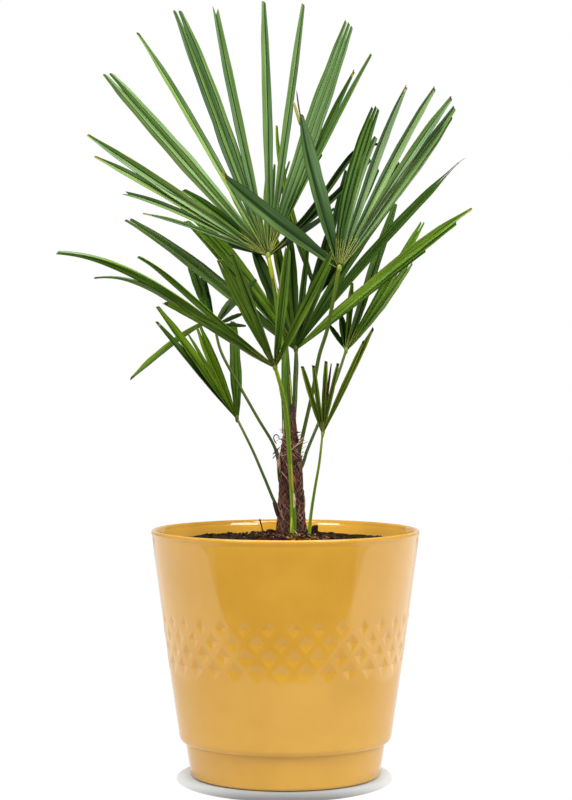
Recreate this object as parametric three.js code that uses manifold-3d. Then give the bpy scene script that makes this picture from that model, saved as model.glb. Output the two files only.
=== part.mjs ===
// Potted windmill palm: a young fan palm with ten fronds in a round glazed pot.
// Millimetres, +Z up. The origin is the middle of the pot's flat underside, and the front looks along -Y.
import * as THREE from 'three';
import { mergeVertices } from 'three/addons/utils/BufferGeometryUtils.js';
import Module from 'manifold-3d';

const wasm = await Module();
wasm.setup();

// Clearance between pieces that touch on the real plant, and the growth of a faceted piece that leaves
// this clearance beside its flats where it cuts another
const GAP = 0.3;
const CUT_GROWTH = 0.45;

// Pot
const POT_HEIGHT = 284;
const RIM_RADIUS = 155;
const BODY_FOOT_RADIUS = 123.6;
const BODY_FOOT_HEIGHT = 50;
const BODY_BULGE = 1;
const STEP_HEIGHT = 40;
const STEP_RADIUS = 117;
const FOOT_TOP_RADIUS = 115.4;
const FOOT_TOP_HEIGHT = 39;
const FOOT_BASE_RADIUS = 109.2;
const FOOT_ROUNDING = 9;
const LIP_WIDTH = 3.2;
const LIP_EDGE_DROP = 2;
const WALL = 6.4;
const FLOOR = 9;
const WALL_RINGS = [115, 205];
const EDGE_STEPS = 2;
const POT_SIDES = 32;

// Band of diamond dimples in the pot's wall
const DIMPLES_ROUND = 32;
const DIMPLE_ROWS = 4;
const LOWEST_ROW_HEIGHT = 135.4;
const ROW_RISE = 16.3;
const DIMPLE_DEPTH = 1.9;
const DIMPLE_TURN = THREE.MathUtils.degToRad(-2);
const LOWEST_DIMPLE = { halfWidth: 11.1, halfHeight: 12 };
const HIGHEST_DIMPLE = { halfWidth: 7.5, halfHeight: 10 };

// Soil, as radius at height over its mound from the trunk to the wall
const SOIL_TOP_HEIGHT = 281;
const SOIL_EDGE_HEIGHT = 269;
const SOIL_MOUND = [[21, SOIL_TOP_HEIGHT], [60, 276], [100, 272]];
const SOIL_TO_WALL = 1.2;
const SOIL_SIDES = 24;

// Trunk, as radius at height above the ground the pot stands on
const TRUNK_BASE = SOIL_TOP_HEIGHT + GAP;
const TRUNK_TOP = 399;
const TRUNK_PROFILE = [
  [18.6, TRUNK_BASE], [16.3, 292], [14.5, 325], [13.6, 346], [12.2, 369], [8.8, 384], [8.1, TRUNK_TOP],
];
const TRUNK_FOOT_ACROSS = 6.4;
const TRUNK_TOP_ACROSS = 5.2;
const TRUNK_SIDES = 16;

// Sheath of the youngest leaf stalks, wrapped round one another above the trunk
const SHEATH_TOP = 497;
const SHEATH_RADII = [8, 5.6, 5, 4.5];
const SHEATH_SIDES = 10;
const SHEATH_STEPS = 6;
const SHEATH_PATH = [[5, 0, TRUNK_TOP + GAP], [5, 0, 410], [3, 0, 432], [0.5, 0, 464], [-1.5, 0, SHEATH_TOP]];

// Leaflets and stalks
const LEAFLET_THICKNESS = 2.9;
const LEAFLET_STEP_LENGTH = 78;
const FOLD_DEPTH = 0.2;
const NARROWEST = 0.18;
const WIDEST_AT = 0.58;
const OUTWARD_BEND = 1.25;
const HUB_RADIUS = 3.4;
const STALK_SIDES = 6;
const STALK_STEPS = 7;

// Where a place is given as across, back and up, across and up are as they look from the front,
// carried to the plane of the trunk, by someone who stands this far away with the eye at this height.
const EYE_DISTANCE = 2700;
const EYE_HEIGHT = 500;

// Each frond: the hub its leaflets spread from, as across, back, up; how far the fan goes back for each
// millimetre up (lean) and across (turn); its stalk from foot to hub; and its leaflets, each as the tip's
// across and up, the width, and where it differs from one fold and a straight leaflet the number of
// folds and the height of its arch.
const FRONDS = [
  {
    name: 'top', hub: [-20, 10, 600], lean: 0.15, turn: -0.05,
    stalk: [[-2, 0, 488], [-5, 1, 503], [-8, 4, 524], [-13, 8, 566]], stalkRadii: [3.3, 2.7],
    leaflets: [
      [-229, 740, 12, 1, 3], [-221, 717, 10, 1, 3], [-209, 812, 20, 2], [-172, 858, 9, 1, 3],
      [-126, 885, 20, 2], [-83, 888, 10, 1, -3], [-27, 895, 10], [18, 892, 10], [70, 871, 21, 3],
      [81, 816, 7], [99, 834, 6], [116, 727, 7, 1, 16], [101, 711, 7, 1, 9], [-189, 673, 7, 1, 6],
      [-165, 649, 5, 1, 2], [-119, 676, 8],
    ],
  },
  {
    name: 'right_top', hub: [62, -40, 586], lean: 0.2, turn: 0.45,
    stalk: [[12, -3, 366], [21, -12, 404], [31, -18, 444], [39, -24, 485], [48, -31, 514], [56, -37, 554]],
    stalkRadii: [2.2, 2.5],
    leaflets: [
      [18, 764, 21, 2, -3], [-67, 685, 21, 2], [102, 771, 17, 3, 3], [104, 738, 9], [139, 796, 10, 1, 4],
      [172, 793, 10, 1, 4], [192, 784, 10, 1, 4], [195, 772, 10], [193, 760, 10],
    ],
  },
  {
    name: 'rear_low', hub: [12, 35, 492], lean: 0.5, turn: 0.15,
    stalk: [[5, 3, 414], [8, 12, 430], [10, 22, 450], [12, 31, 474]], stalkRadii: [2.4, 2.3],
    leaflets: [
      [-184, 642, 15, 2, 6], [-123, 656, 13, 1, 12], [-40, 595, 9], [-17, 593, 8], [5, 600, 8],
      [24, 612, 7], [35, 607, 8], [76, 659, 8], [201, 711, 12, 2, 6], [216, 655, 10, 1, 5],
      [202, 640, 10, 1, 3], [163, 607, 9, 1, 2],
    ],
  },
  {
    name: 'front', hub: [-12, -75, 472], lean: -1.2, turn: -0.35,
    stalk: [[8, -22.5, 272], [8, -18.9, 310], [5, -21, 363], [-1, -36, 410], [-6, -54, 442]],
    stalkRadii: [3.2, 2.3],
    leaflets: [
      [-266, 603, 10, 1, 24], [-237, 601, 10, 1, 22], [-222, 574, 9, 1, 22], [-140, 546, 13, 2, 3],
      [-172, 599, 7, 1, 8], [-76, 597, 16, 3], [-62, 603, 10], [3, 610, 12, 2], [54, 605, 10], [52, 588, 5],
    ],
  },
  {
    name: 'left_low', hub: [-56, 20, 412], lean: 0.3, turn: 0.9,
    stalk: [[-2, 0, 303], [-11, 1, 311], [-28, 5, 342], [-42, 11, 375]], stalkRadii: [1.9, 1.6],
    leaflets: [[-149, 541, 9], [-150, 524, 8], [-115, 514, 6], [-102, 514, 13, 2], [-63, 523, 15, 3]],
  },
  {
    name: 'right_rear', hub: [70, 65, 491], lean: 0.9, turn: 0,
    stalk: [[8, 5, 342], [19, 14, 357], [25, 21, 375], [37, 33, 404], [59, 54, 458]], stalkRadii: [2, 1.7],
    leaflets: [[158, 638, 12, 2], [145, 593, 14, 2], [129, 665, 7], [77, 570, 7], [51, 520, 6], [65, 528, 7]],
  },
  {
    name: 'right_small', hub: [43, -60, 395], lean: -0.6, turn: -0.3,
    stalk: [[27, -10, 270], [29, -14, 300], [33, -26, 332], [37, -40, 360]], stalkRadii: [2, 1.4],
    leaflets: [
      [20, 472, 6], [32, 475, 7], [46, 479, 8], [53, 476, 4], [61, 477, 7], [101, 516, 7], [91, 503, 6],
    ],
  },
  {
    name: 'left_rear', hub: [-82, 15, 520], lean: 1.6, turn: -1.6,
    stalk: [[-1, 3, 338], [-8, 6, 352], [-15, 8, 378], [-33, 11, 412], [-52, 13, 447], [-72, 14, 490]],
    stalkRadii: [1.9, 1.7],
    leaflets: [
      [-180, 457, 10, 1, 17], [-141, 546, 8], [-135, 563, 8], [-109, 581, 9], [-99, 585, 9], [-33, 573, 9],
      [-50, 529, 6], [-46, 519, 6],
    ],
  },
  {
    name: 'rear_top', hub: [37, 110, 554], lean: 0.5, turn: 0,
    stalk: [[5, 3, 407], [10, 20, 428], [16, 42, 456], [28, 82, 514]], stalkRadii: [2.2, 1.8],
    leaflets: [
      [-10, 752, 6], [-13, 706, 5], [5, 710, 5], [42, 718, 5], [70, 700, 7], [108, 701, 6], [132, 709, 6],
      [120, 660, 7],
    ],
  },
  {
    name: 'rear_high', hub: [-20, 70, 600], lean: 1.8, turn: -0.9,
    stalk: [[-1, 3, 458], [-5, 17, 512], [-10, 40, 556]], stalkRadii: [2.3, 2],
    leaflets: [
      [-92, 645, 8], [-73, 659, 9], [-63, 673, 8], [-51, 683, 10, 2], [-41, 686, 8], [-22, 689, 8],
      [-75, 634, 8],
    ],
  },
];

// Colours and finishes
const GLAZE = new THREE.MeshStandardMaterial({ color: 0xd9a441, roughness: 0.15, metalness: 0 });
const SOIL = new THREE.MeshStandardMaterial({ color: 0x2b211a, roughness: 0.95, metalness: 0 });
const FIBRE = new THREE.MeshStandardMaterial({ color: 0x6e5340, roughness: 0.9, metalness: 0 });
const STALK = new THREE.MeshStandardMaterial({ color: 0x6d8f3e, roughness: 0.5, metalness: 0 });
const LEAF = new THREE.MeshStandardMaterial({ color: 0x4f7f3f, roughness: 0.45, metalness: 0 });

// A closed geometry as a solid that can be joined and cut
function solidOf(geometry) {
  const bare = geometry.clone();
  bare.deleteAttribute('normal');
  bare.deleteAttribute('uv');
  const merged = mergeVertices(bare, 1e-4);
  return new wasm.Manifold(new wasm.Mesh({
    numProp: 3,
    vertProperties: new Float32Array(merged.attributes.position.array),
    triVerts: new Uint32Array(merged.index.array),
  }));
}

// A solid as a geometry again
function geometryOf(solid) {
  const mesh = solid.getMesh();
  const geometry = new THREE.BufferGeometry();
  geometry.setAttribute('position', new THREE.BufferAttribute(new Float32Array(mesh.vertProperties), 3));
  geometry.setIndex(new THREE.BufferAttribute(new Uint32Array(mesh.triVerts), 1));
  geometry.computeVertexNormals();
  return geometry;
}

// Moves each vertex of a geometry to where a function puts it
function reshape(geometry, move) {
  const position = geometry.attributes.position;
  const vertex = new THREE.Vector3();
  for (let i = 0; i < position.count; i += 1) {
    vertex.fromBufferAttribute(position, i);
    move(vertex);
    position.setXYZ(i, vertex.x, vertex.y, vertex.z);
  }
  return geometry;
}

// A lathe profile of [radius, height] pairs, turned about the upright axis
function turned(profile, sides) {
  const points = profile.map(([radius, height]) => new THREE.Vector2(radius, height));
  return new THREE.LatheGeometry(points, sides).rotateX(Math.PI / 2);
}

function between(low, high, share) {
  return low + (high - low) * share;
}

// The value at a height between the [value, height] pairs of a profile
function valueAt(profile, height) {
  for (let i = 1; i < profile.length; i += 1) {
    const [lowValue, lowHeight] = profile[i - 1];
    const [highValue, highHeight] = profile[i];
    if (height <= highHeight) {
      return between(lowValue, highValue, (height - lowHeight) / (highHeight - lowHeight));
    }
  }
  return profile[profile.length - 1][0];
}

// The point that shows at across and up from the front and lies back from the plane of the trunk
function place([across, back, up]) {
  const spread = 1 + back / EYE_DISTANCE;
  return new THREE.Vector3(across * spread, back, EYE_HEIGHT + (up - EYE_HEIGHT) * spread);
}

// Outer radius of the pot's body at a height
function bodyRadius(height) {
  const share = (height - BODY_FOOT_HEIGHT) / (POT_HEIGHT - BODY_FOOT_HEIGHT);
  return between(BODY_FOOT_RADIUS, RIM_RADIUS, share) + BODY_BULGE * Math.sin(Math.PI * share);
}

// Points of a rounded edge between two [radius, height] pairs, bent towards the corner it takes off
function rounded(from, corner, to) {
  const curve = new THREE.QuadraticBezierCurve(
    new THREE.Vector2(...from), new THREE.Vector2(...corner), new THREE.Vector2(...to));
  return curve.getPoints(EDGE_STEPS).map((point) => [point.x, point.y]);
}

function potSolid() {
  const underside = [FOOT_BASE_RADIUS - FOOT_ROUNDING, 0];
  const footSide = [FOOT_BASE_RADIUS, FOOT_ROUNDING];
  const stepEdge = [STEP_RADIUS, STEP_HEIGHT];
  const bodyFoot = [BODY_FOOT_RADIUS, BODY_FOOT_HEIGHT];
  const lipOutside = [RIM_RADIUS, POT_HEIGHT - LIP_EDGE_DROP];
  const lipTop = [RIM_RADIUS - LIP_WIDTH, POT_HEIGHT];
  const profile = [
    [0, 0],
    ...rounded(underside, [FOOT_BASE_RADIUS, 0], footSide),
    [FOOT_TOP_RADIUS, FOOT_TOP_HEIGHT],
    ...rounded(stepEdge, [BODY_FOOT_RADIUS, STEP_HEIGHT], bodyFoot),
    ...WALL_RINGS.map((height) => [bodyRadius(height), height]),
    ...rounded(lipOutside, [RIM_RADIUS, POT_HEIGHT], lipTop),
    [RIM_RADIUS - WALL, POT_HEIGHT - LIP_WIDTH],
    [BODY_FOOT_RADIUS - WALL, BODY_FOOT_HEIGHT],
    [FOOT_TOP_RADIUS - WALL, STEP_HEIGHT],
    [FOOT_BASE_RADIUS - WALL, FLOOR],
    [0, FLOOR],
  ];
  return solidOf(turned(profile, POT_SIDES)).subtract(dimpleCutter());
}

// All the dimples as one solid: pyramids on a diamond that point into the wall
function dimpleCutter() {
  let cutter = null;
  for (let row = 0; row < DIMPLE_ROWS; row += 1) {
    const height = LOWEST_ROW_HEIGHT + row * ROW_RISE;
    const share = row / (DIMPLE_ROWS - 1);
    const halfWidth = between(LOWEST_DIMPLE.halfWidth, HIGHEST_DIMPLE.halfWidth, share);
    const halfHeight = between(LOWEST_DIMPLE.halfHeight, HIGHEST_DIMPLE.halfHeight, share);
    const radius = bodyRadius(height);
    const slope = Math.atan((bodyRadius(height + 1) - bodyRadius(height - 1)) / 2);
    const roundness = halfWidth * halfWidth / (2 * radius);
    const widening = 1 + roundness / DIMPLE_DEPTH;
    for (let i = 0; i < DIMPLES_ROUND; i += 1) {
      const turn = DIMPLE_TURN + 2 * Math.PI * (i + (row % 2) / 2) / DIMPLES_ROUND;
      const pyramid = new THREE.OctahedronGeometry(1);
      pyramid.scale(DIMPLE_DEPTH, halfWidth * widening, halfHeight * widening);
      pyramid.rotateY(slope).translate(radius, 0, height).rotateZ(turn);
      cutter = cutter ? cutter.add(solidOf(pyramid)) : solidOf(pyramid);
    }
  }
  return cutter;
}

// Soil fills the pot and rises in a low mound to the trunk; raised by a clearance where it cuts others
function soilSolid(clearance = 0) {
  const shrink = WALL + SOIL_TO_WALL;
  const profile = [
    [0, FLOOR + GAP],
    [FOOT_BASE_RADIUS - shrink, FLOOR + GAP],
    [FOOT_TOP_RADIUS - shrink, STEP_HEIGHT],
    [BODY_FOOT_RADIUS - shrink, BODY_FOOT_HEIGHT],
    [bodyRadius(SOIL_EDGE_HEIGHT) - shrink, SOIL_EDGE_HEIGHT + clearance],
    ...SOIL_MOUND.toReversed().map(([radius, height]) => [radius, height + clearance]),
    [0, SOIL_TOP_HEIGHT + clearance],
  ];
  return solidOf(turned(profile, SOIL_SIDES));
}

// The trunk, flat at the soil and at its top, flared at its foot; grown by a clearance where it cuts others
function trunkSolid(clearance = 0) {
  const profile = [
    [0, TRUNK_BASE - clearance],
    ...TRUNK_PROFILE.map(([radius, height], i) => {
      const end = (i === 0 ? -clearance : 0) + (i === TRUNK_PROFILE.length - 1 ? clearance : 0);
      return [radius + clearance, height + end];
    }),
    [0, TRUNK_TOP + clearance],
  ];
  const leaning = [[TRUNK_FOOT_ACROSS, TRUNK_BASE], [TRUNK_TOP_ACROSS, TRUNK_TOP]];
  return solidOf(reshape(turned(profile, TRUNK_SIDES), (vertex) => {
    vertex.x += valueAt(leaning, vertex.z);
  }));
}

// A round limb along a smooth path, with its radius worked out from a few evenly spaced values
function limbSolid(path, radii, sides, steps, clearance = 0) {
  const curve = new THREE.CatmullRomCurve3(path, false, 'centripetal');
  const frames = curve.computeFrenetFrames(steps, false);
  const centres = frames.tangents.map((tangent, i) => curve.getPointAt(i / steps));
  return solidOf(reshape(new THREE.CylinderGeometry(1, 1, 1, sides, steps), (vertex) => {
    const step = Math.round((vertex.y + 0.5) * steps);
    const where = step / steps * (radii.length - 1);
    const section = Math.min(Math.floor(where), radii.length - 2);
    const radius = between(radii[section], radii[section + 1], where - section) + clearance;
    const ring = frames.normals[step].clone().multiplyScalar(vertex.x * radius);
    ring.addScaledVector(frames.binormals[step], -vertex.z * radius);
    vertex.copy(centres[step]).add(ring);
  }));
}

function sheathSolid(clearance = 0) {
  const path = SHEATH_PATH.map(([across, back, up], i) => {
    const end = (i === SHEATH_PATH.length - 1 ? clearance : 0) - (i === 0 ? clearance : 0);
    return new THREE.Vector3(across, back, up + end);
  });
  return limbSolid(path, SHEATH_RADII, SHEATH_SIDES, SHEATH_STEPS, clearance);
}

function hubSolid(frond, clearance = 0) {
  const hub = place(frond.hub);
  return solidOf(new THREE.SphereGeometry(HUB_RADIUS + clearance, 6, 4).translate(hub.x, hub.y, hub.z));
}

// A stalk from the trunk, sheath or soil to the hub of its frond
function stalkSolid(frond, carriers) {
  const path = [...frond.stalk, frond.hub].map(place);
  let stalk = limbSolid(path, frond.stalkRadii, STALK_SIDES, STALK_STEPS);
  for (const carrier of carriers) {
    stalk = stalk.subtract(carrier);
  }
  return largestPiece(stalk.subtract(hubSolid(frond, CUT_GROWTH)));
}

function largestPiece(solid) {
  const pieces = solid.decompose();
  return pieces.reduce((largest, piece) => (piece.volume() > largest.volume() ? piece : largest));
}

// Share of a leaflet's full width at a share of its length: narrow at the hub, widest past the middle
function widthShare(along) {
  return NARROWEST + (1 - NARROWEST) * Math.sin(Math.PI / 2 * along / WIDEST_AT) ** 0.9;
}

// Share of a leaflet's arch at a share of its length: it rises from the hub and droops towards its tip
function archShare(along) {
  return 2.12 * along * (1 - along ** 3);
}

// One leaflet, a thin blade folded lengthwise once or several times
function leafletSolid(hub, tip, width, folds, arch, normal) {
  const direction = tip.clone().sub(hub).normalize();
  const across = new THREE.Vector3().crossVectors(normal, direction).normalize();
  const face = new THREE.Vector3().crossVectors(direction, across);
  const upward = across.clone().multiplyScalar(Math.sign(across.z) || 1);
  const steps = Math.max(3, Math.round(hub.distanceTo(tip) / LEAFLET_STEP_LENGTH));
  const blade = new THREE.BoxGeometry(1, 1, 1, 2 * folds, 1, steps);
  return solidOf(reshape(blade, (vertex) => {
    const along = vertex.z + 0.5;
    const fold = Math.round((vertex.x + 0.5) * 2 * folds) % 2;
    const spread = width * widthShare(along);
    const lift = (fold - 0.5) * FOLD_DEPTH * 2 * spread / folds + vertex.y * LEAFLET_THICKNESS;
    const sideways = vertex.x * spread;
    vertex.x = between(hub.x, tip.x, along);
    vertex.y = between(hub.y, tip.y, along ** OUTWARD_BEND);
    vertex.z = between(hub.z, tip.z, along);
    vertex.addScaledVector(upward, arch * archShare(along));
    vertex.addScaledVector(across, sideways);
    vertex.addScaledVector(face, lift);
  }));
}

// A frond's blade: its leaflets, fused where they meet at the hub
function bladeSolid(frond) {
  const [hubAcross, hubBack, hubUp] = frond.hub;
  const normal = new THREE.Vector3(-frond.turn, 1, -frond.lean).normalize();
  const hub = place(frond.hub);
  let blade = hubSolid(frond);
  for (const [across, up, width, folds = 1, arch = 0] of frond.leaflets) {
    const back = hubBack + frond.lean * (up - hubUp) + frond.turn * (across - hubAcross);
    blade = blade.add(leafletSolid(hub, place([across, back, up]), width, folds, arch, normal));
  }
  return blade;
}

const palm = new THREE.Group();

function addPiece(name, solid, material) {
  const piece = new THREE.Mesh(geometryOf(solid), material.clone());
  piece.name = name;
  palm.add(piece);
}

addPiece('pot', potSolid(), GLAZE);
addPiece('soil', soilSolid(), SOIL);
addPiece('trunk', trunkSolid(), FIBRE);
addPiece('crown_sheath', sheathSolid(), STALK);

const carriers = [trunkSolid(CUT_GROWTH), sheathSolid(CUT_GROWTH), soilSolid(CUT_GROWTH)];
for (const frond of FRONDS) {
  addPiece(`stalk_${frond.name}`, stalkSolid(frond, carriers), STALK);
  addPiece(`frond_${frond.name}`, bladeSolid(frond), LEAF);
}

export default palm;
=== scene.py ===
"""Potted windmill palm: a young fan palm with a short fibrous trunk, in a glazed pot with dimples."""
import math
import random

import bmesh
import bpy
import numpy as np
from mathutils import Matrix, Vector, noise


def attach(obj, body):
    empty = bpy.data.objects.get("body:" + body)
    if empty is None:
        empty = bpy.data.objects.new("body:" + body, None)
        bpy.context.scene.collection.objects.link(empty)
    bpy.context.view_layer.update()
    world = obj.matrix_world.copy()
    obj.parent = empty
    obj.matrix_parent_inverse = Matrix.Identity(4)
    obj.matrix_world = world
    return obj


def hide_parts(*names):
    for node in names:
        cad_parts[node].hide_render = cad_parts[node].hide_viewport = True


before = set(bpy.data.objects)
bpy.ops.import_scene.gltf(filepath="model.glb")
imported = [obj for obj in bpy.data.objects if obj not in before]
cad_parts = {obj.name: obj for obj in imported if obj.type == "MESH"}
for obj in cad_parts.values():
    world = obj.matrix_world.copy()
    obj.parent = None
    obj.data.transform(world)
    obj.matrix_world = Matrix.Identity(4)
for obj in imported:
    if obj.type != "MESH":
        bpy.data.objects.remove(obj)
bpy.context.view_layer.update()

MM = 0.001
TURN = 2 * math.pi


# Shapes

def between(low, high, share):
    return low + (high - low) * share


def value_at(profile, where):
    """The value at a place between the (value, place) pairs of a profile."""
    return float(np.interp(where, [p[1] for p in profile], [p[0] for p in profile]))


def eased(share):
    share = min(max(share, 0.0), 1.0)
    return share * share * (3 - 2 * share)


def add_piece(name, mesh, material, replaced=()):
    mesh.materials.append(material)
    piece = bpy.data.objects.new(name, mesh)
    bpy.context.scene.collection.objects.link(piece)
    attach(piece, "root")
    if replaced:
        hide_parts(*replaced)


def finish_piece(name, bm, material, replaced=(), crease=180):
    """A bmesh in millimetres as a piece in metres, smooth but where it turns more than the crease."""
    bmesh.ops.recalc_face_normals(bm, faces=bm.faces)
    for edge in bm.edges:
        if len(edge.link_faces) == 2 and edge.calc_face_angle(0) > math.radians(crease):
            edge.smooth = False
    bmesh.ops.scale(bm, vec=(MM, MM, MM), verts=bm.verts)
    for face in bm.faces:
        face.smooth = True
    mesh = bpy.data.meshes.new(name)
    bm.to_mesh(mesh)
    bm.free()
    add_piece(name, mesh, material, replaced)


def lengths_along(path):
    return np.concatenate([[0], np.cumsum(np.linalg.norm(np.diff(path, axis=0), axis=1))])


def smooth_path(points, count):
    """Evenly spaced points on a centripetal curve through the given points."""
    given = [np.array(p, float) for p in points]
    given = [2 * given[0] - given[1]] + given + [2 * given[-1] - given[-2]]
    dense = []
    for a, b, c, d in zip(given, given[1:], given[2:], given[3:]):
        knots = np.cumsum([0] + [math.sqrt(np.linalg.norm(q - p)) for p, q in ((a, b), (b, c), (c, d))])
        for t in np.linspace(knots[1], knots[2], 24):
            def mix(p, q, i, j):
                return (p * (knots[j] - t) + q * (t - knots[i])) / (knots[j] - knots[i])
            ab, bc, cd = mix(a, b, 0, 1), mix(b, c, 1, 2), mix(c, d, 2, 3)
            dense.append(mix(mix(ab, bc, 0, 2), mix(bc, cd, 1, 3), 1, 2))
    dense = np.array(dense)
    length = lengths_along(dense)
    where = np.linspace(0, length[-1], count)
    return np.stack([np.interp(where, length, dense[:, i]) for i in range(3)], 1)


def grid_cells(bm, columns, rows):
    """The vertices of a new grid, each with its column and row."""
    grid = bmesh.ops.create_grid(bm, x_segments=columns, y_segments=rows, size=0.5)["verts"]
    return {v: (round((v.co.x + 0.5) * columns), round((v.co.y + 0.5) * rows)) for v in grid}


def lay_uv(bm, cells, uv_at):
    """The UV map of a grid, from the place that each column and row has on it."""
    layer = bm.loops.layers.uv.verify()
    for vert, cell in cells.items():
        for loop in vert.link_loops:
            loop[layer].uv = uv_at(*cell)


def add_tube(bm, path, radii, sides, flatness=1.0):
    """A closed tube along a path, with a UV map in tenths of a metre round it and 0 to 1 along."""
    reference = np.array([1.0, 0.12, 0.0])
    tangents = np.gradient(path, axis=0)
    cells = grid_cells(bm, sides, len(path) - 1)
    for vert, (side, ring) in cells.items():
        tangent = tangents[ring] / np.linalg.norm(tangents[ring])
        across = np.cross(np.cross(tangent, reference), tangent)
        across /= np.linalg.norm(across)
        angle = TURN * side / sides
        offset = across * math.cos(angle) + np.cross(tangent, across) * math.sin(angle) * flatness
        vert.co = Vector(path[ring] + offset * radii[ring])
    lengths = lengths_along(path)
    round_it = TURN * np.arange(sides + 1) / sides / 100
    lay_uv(bm, cells, lambda side, ring: (round_it[side] * radii[ring], lengths[ring] / lengths[-1]))
    bmesh.ops.remove_doubles(bm, verts=list(cells), dist=1e-4)
    bmesh.ops.holes_fill(bm, edges=[e for e in bm.edges if e.is_boundary], sides=sides)


def add_strands(name, paths, radii, material, sides=3):
    """Many thin tubes along paths as one piece, pointed at both ends."""
    verts, faces = [], []
    for path, radius in zip(paths, radii):
        path = np.asarray(path, float)
        tangents = np.gradient(path, axis=0)
        tangents /= np.maximum(np.linalg.norm(tangents, axis=1, keepdims=True), 1e-9)
        across = np.cross(tangents, (0.31, 0.17, 0.93) if abs(tangents[0][2]) < 0.8 else (0.95, 0.2, 0.1))
        across /= np.linalg.norm(across, axis=1, keepdims=True)
        face = np.cross(tangents, across)
        start = len(verts)
        for i, share in enumerate(np.linspace(0, 1, len(path))[1:-1], start=1):
            thickness = radius * (0.45 + 0.55 * math.sin(math.pi * share) ** 0.5)
            for k in range(sides):
                angle = TURN * k / sides
                verts.append(path[i] + thickness * (across[i] * math.cos(angle) + face[i] * math.sin(angle)))
        tip, end_ring = len(verts), len(verts) - sides
        verts.extend([path[0], path[-1]])
        for k in range(sides):
            after = (k + 1) % sides
            faces.append((tip, start + after, start + k))
            faces.append((tip + 1, end_ring + k, end_ring + after))
            for ring in range(start, end_ring, sides):
                faces.append((ring + k, ring + after, ring + sides + after, ring + sides + k))
    mesh = bpy.data.meshes.new(name)
    mesh.from_pydata([tuple(v * MM) for v in verts], [], faces)
    mesh.shade_smooth()
    add_piece(name, mesh, material)


# Node groups and materials

def linked(tree, kind, sockets=None, **settings):
    """A new node with its settings, and its inputs linked to sockets or set to values."""
    node = tree.nodes.new(kind)
    for key, value in settings.items():
        setattr(node, key, value)
    for key, value in (sockets or {}).items():
        if isinstance(value, bpy.types.NodeSocket):
            tree.links.new(value, node.inputs[key])
        else:
            node.inputs[key].default_value = value
    return node


def object_place(tree):
    return linked(tree, "ShaderNodeTexCoord").outputs["Object"]


def math_of(tree, operation, *values):
    return linked(tree, "ShaderNodeMath", dict(enumerate(values)), operation=operation).outputs[0]


def vector_math(tree, operation, *values):
    node = linked(tree, "ShaderNodeVectorMath", dict(enumerate(values)), operation=operation)
    return node.outputs["Value" if operation == "LENGTH" else "Vector"]


def remapped(tree, value, low, high, to_low=0.0, to_high=1.0):
    sockets = {"Value": value, "From Min": low, "From Max": high, "To Min": to_low, "To Max": to_high}
    return linked(tree, "ShaderNodeMapRange", sockets).outputs[0]


def noise_of(tree, where, scale, detail=1.0, roughness=0.5):
    sockets = {"Vector": where, "Scale": scale, "Detail": detail, "Roughness": roughness}
    return linked(tree, "ShaderNodeTexNoise", sockets).outputs["Fac"]


def ramp(tree, factor, stops):
    """A colour that follows a factor through (position, colour) stops."""
    node = linked(tree, "ShaderNodeValToRGB", {"Fac": factor})
    elements = node.color_ramp.elements
    while len(elements) < len(stops):
        elements.new(0.5)
    for element, (position, colour) in zip(elements, stops):
        element.position = position
        element.color = (*colour, 1.0)
    return node.outputs[0]


def mixed(tree, factor, first, second, blend="MIX"):
    """Two colours mixed by a factor, each of the three a socket or a value."""
    node = linked(tree, "ShaderNodeMix", {0: factor}, data_type="RGBA", blend_type=blend)
    for index, value in ((6, first), (7, second)):
        if isinstance(value, bpy.types.NodeSocket):
            tree.links.new(value, node.inputs[index])
        else:
            node.inputs[index].default_value = (*value, 1.0)
    return node.outputs[2]


def new_group(name, inputs, outputs):
    """A node group of number sockets, with the sockets that it is given and those that it puts out."""
    group = bpy.data.node_groups.new(name, "ShaderNodeTree")
    for label, value in inputs.items():
        socket = group.interface.new_socket(name=label, in_out="INPUT", socket_type="NodeSocketFloat")
        socket.default_value = value
    for label in outputs:
        group.interface.new_socket(name=label, in_out="OUTPUT", socket_type="NodeSocketFloat")
    return group, group.nodes.new("NodeGroupInput").outputs, group.nodes.new("NodeGroupOutput").inputs


def make_mottle_group():
    """Soft patches and fine grain on object coordinates, as two masks around a half."""
    group, given, result = new_group(
        "mottle", {"Patch Scale": 40.0, "Grain Scale": 400.0}, ("Patches", "Grain"))
    where = object_place(group)
    group.links.new(noise_of(group, where, given["Patch Scale"], 3.0, 0.55), result["Patches"])
    group.links.new(noise_of(group, where, given["Grain Scale"], 2.0, 0.6), result["Grain"])
    return group


def make_vein_group():
    """Fine veins and broad streaks along a leaflet or stalk, and the place on it, from its UV map."""
    group, given, result = new_group(
        "parallel veins", {"Across Scale": 90.0, "Along Scale": 2.0},
        ("Veins", "Streaks", "Place Across", "Place Along"))
    where = linked(group, "ShaderNodeTexCoord").outputs["UV"]
    parts = linked(group, "ShaderNodeSeparateXYZ", {"Vector": where}).outputs
    group.links.new(math_of(group, "ADD", parts["X"], 0.5), result["Place Across"])
    group.links.new(parts["Y"], result["Place Along"])
    scales = {"X": given["Across Scale"], "Y": given["Along Scale"], "Z": 1.0}
    scale = linked(group, "ShaderNodeCombineXYZ", scales).outputs[0]
    stretched = vector_math(group, "MULTIPLY", where, scale)
    broad = vector_math(group, "MULTIPLY", stretched, (0.22, 0.5, 1.0))
    group.links.new(noise_of(group, stretched, 1.0), result["Veins"])
    group.links.new(noise_of(group, broad, 1.0), result["Streaks"])
    return group


MOTTLE = make_mottle_group()
VEINS = make_vein_group()


def placed_group(tree, group, **values):
    sockets = {key.replace("_", " ").title(): value for key, value in values.items()}
    return linked(tree, "ShaderNodeGroup", sockets, node_tree=group).outputs


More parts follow.
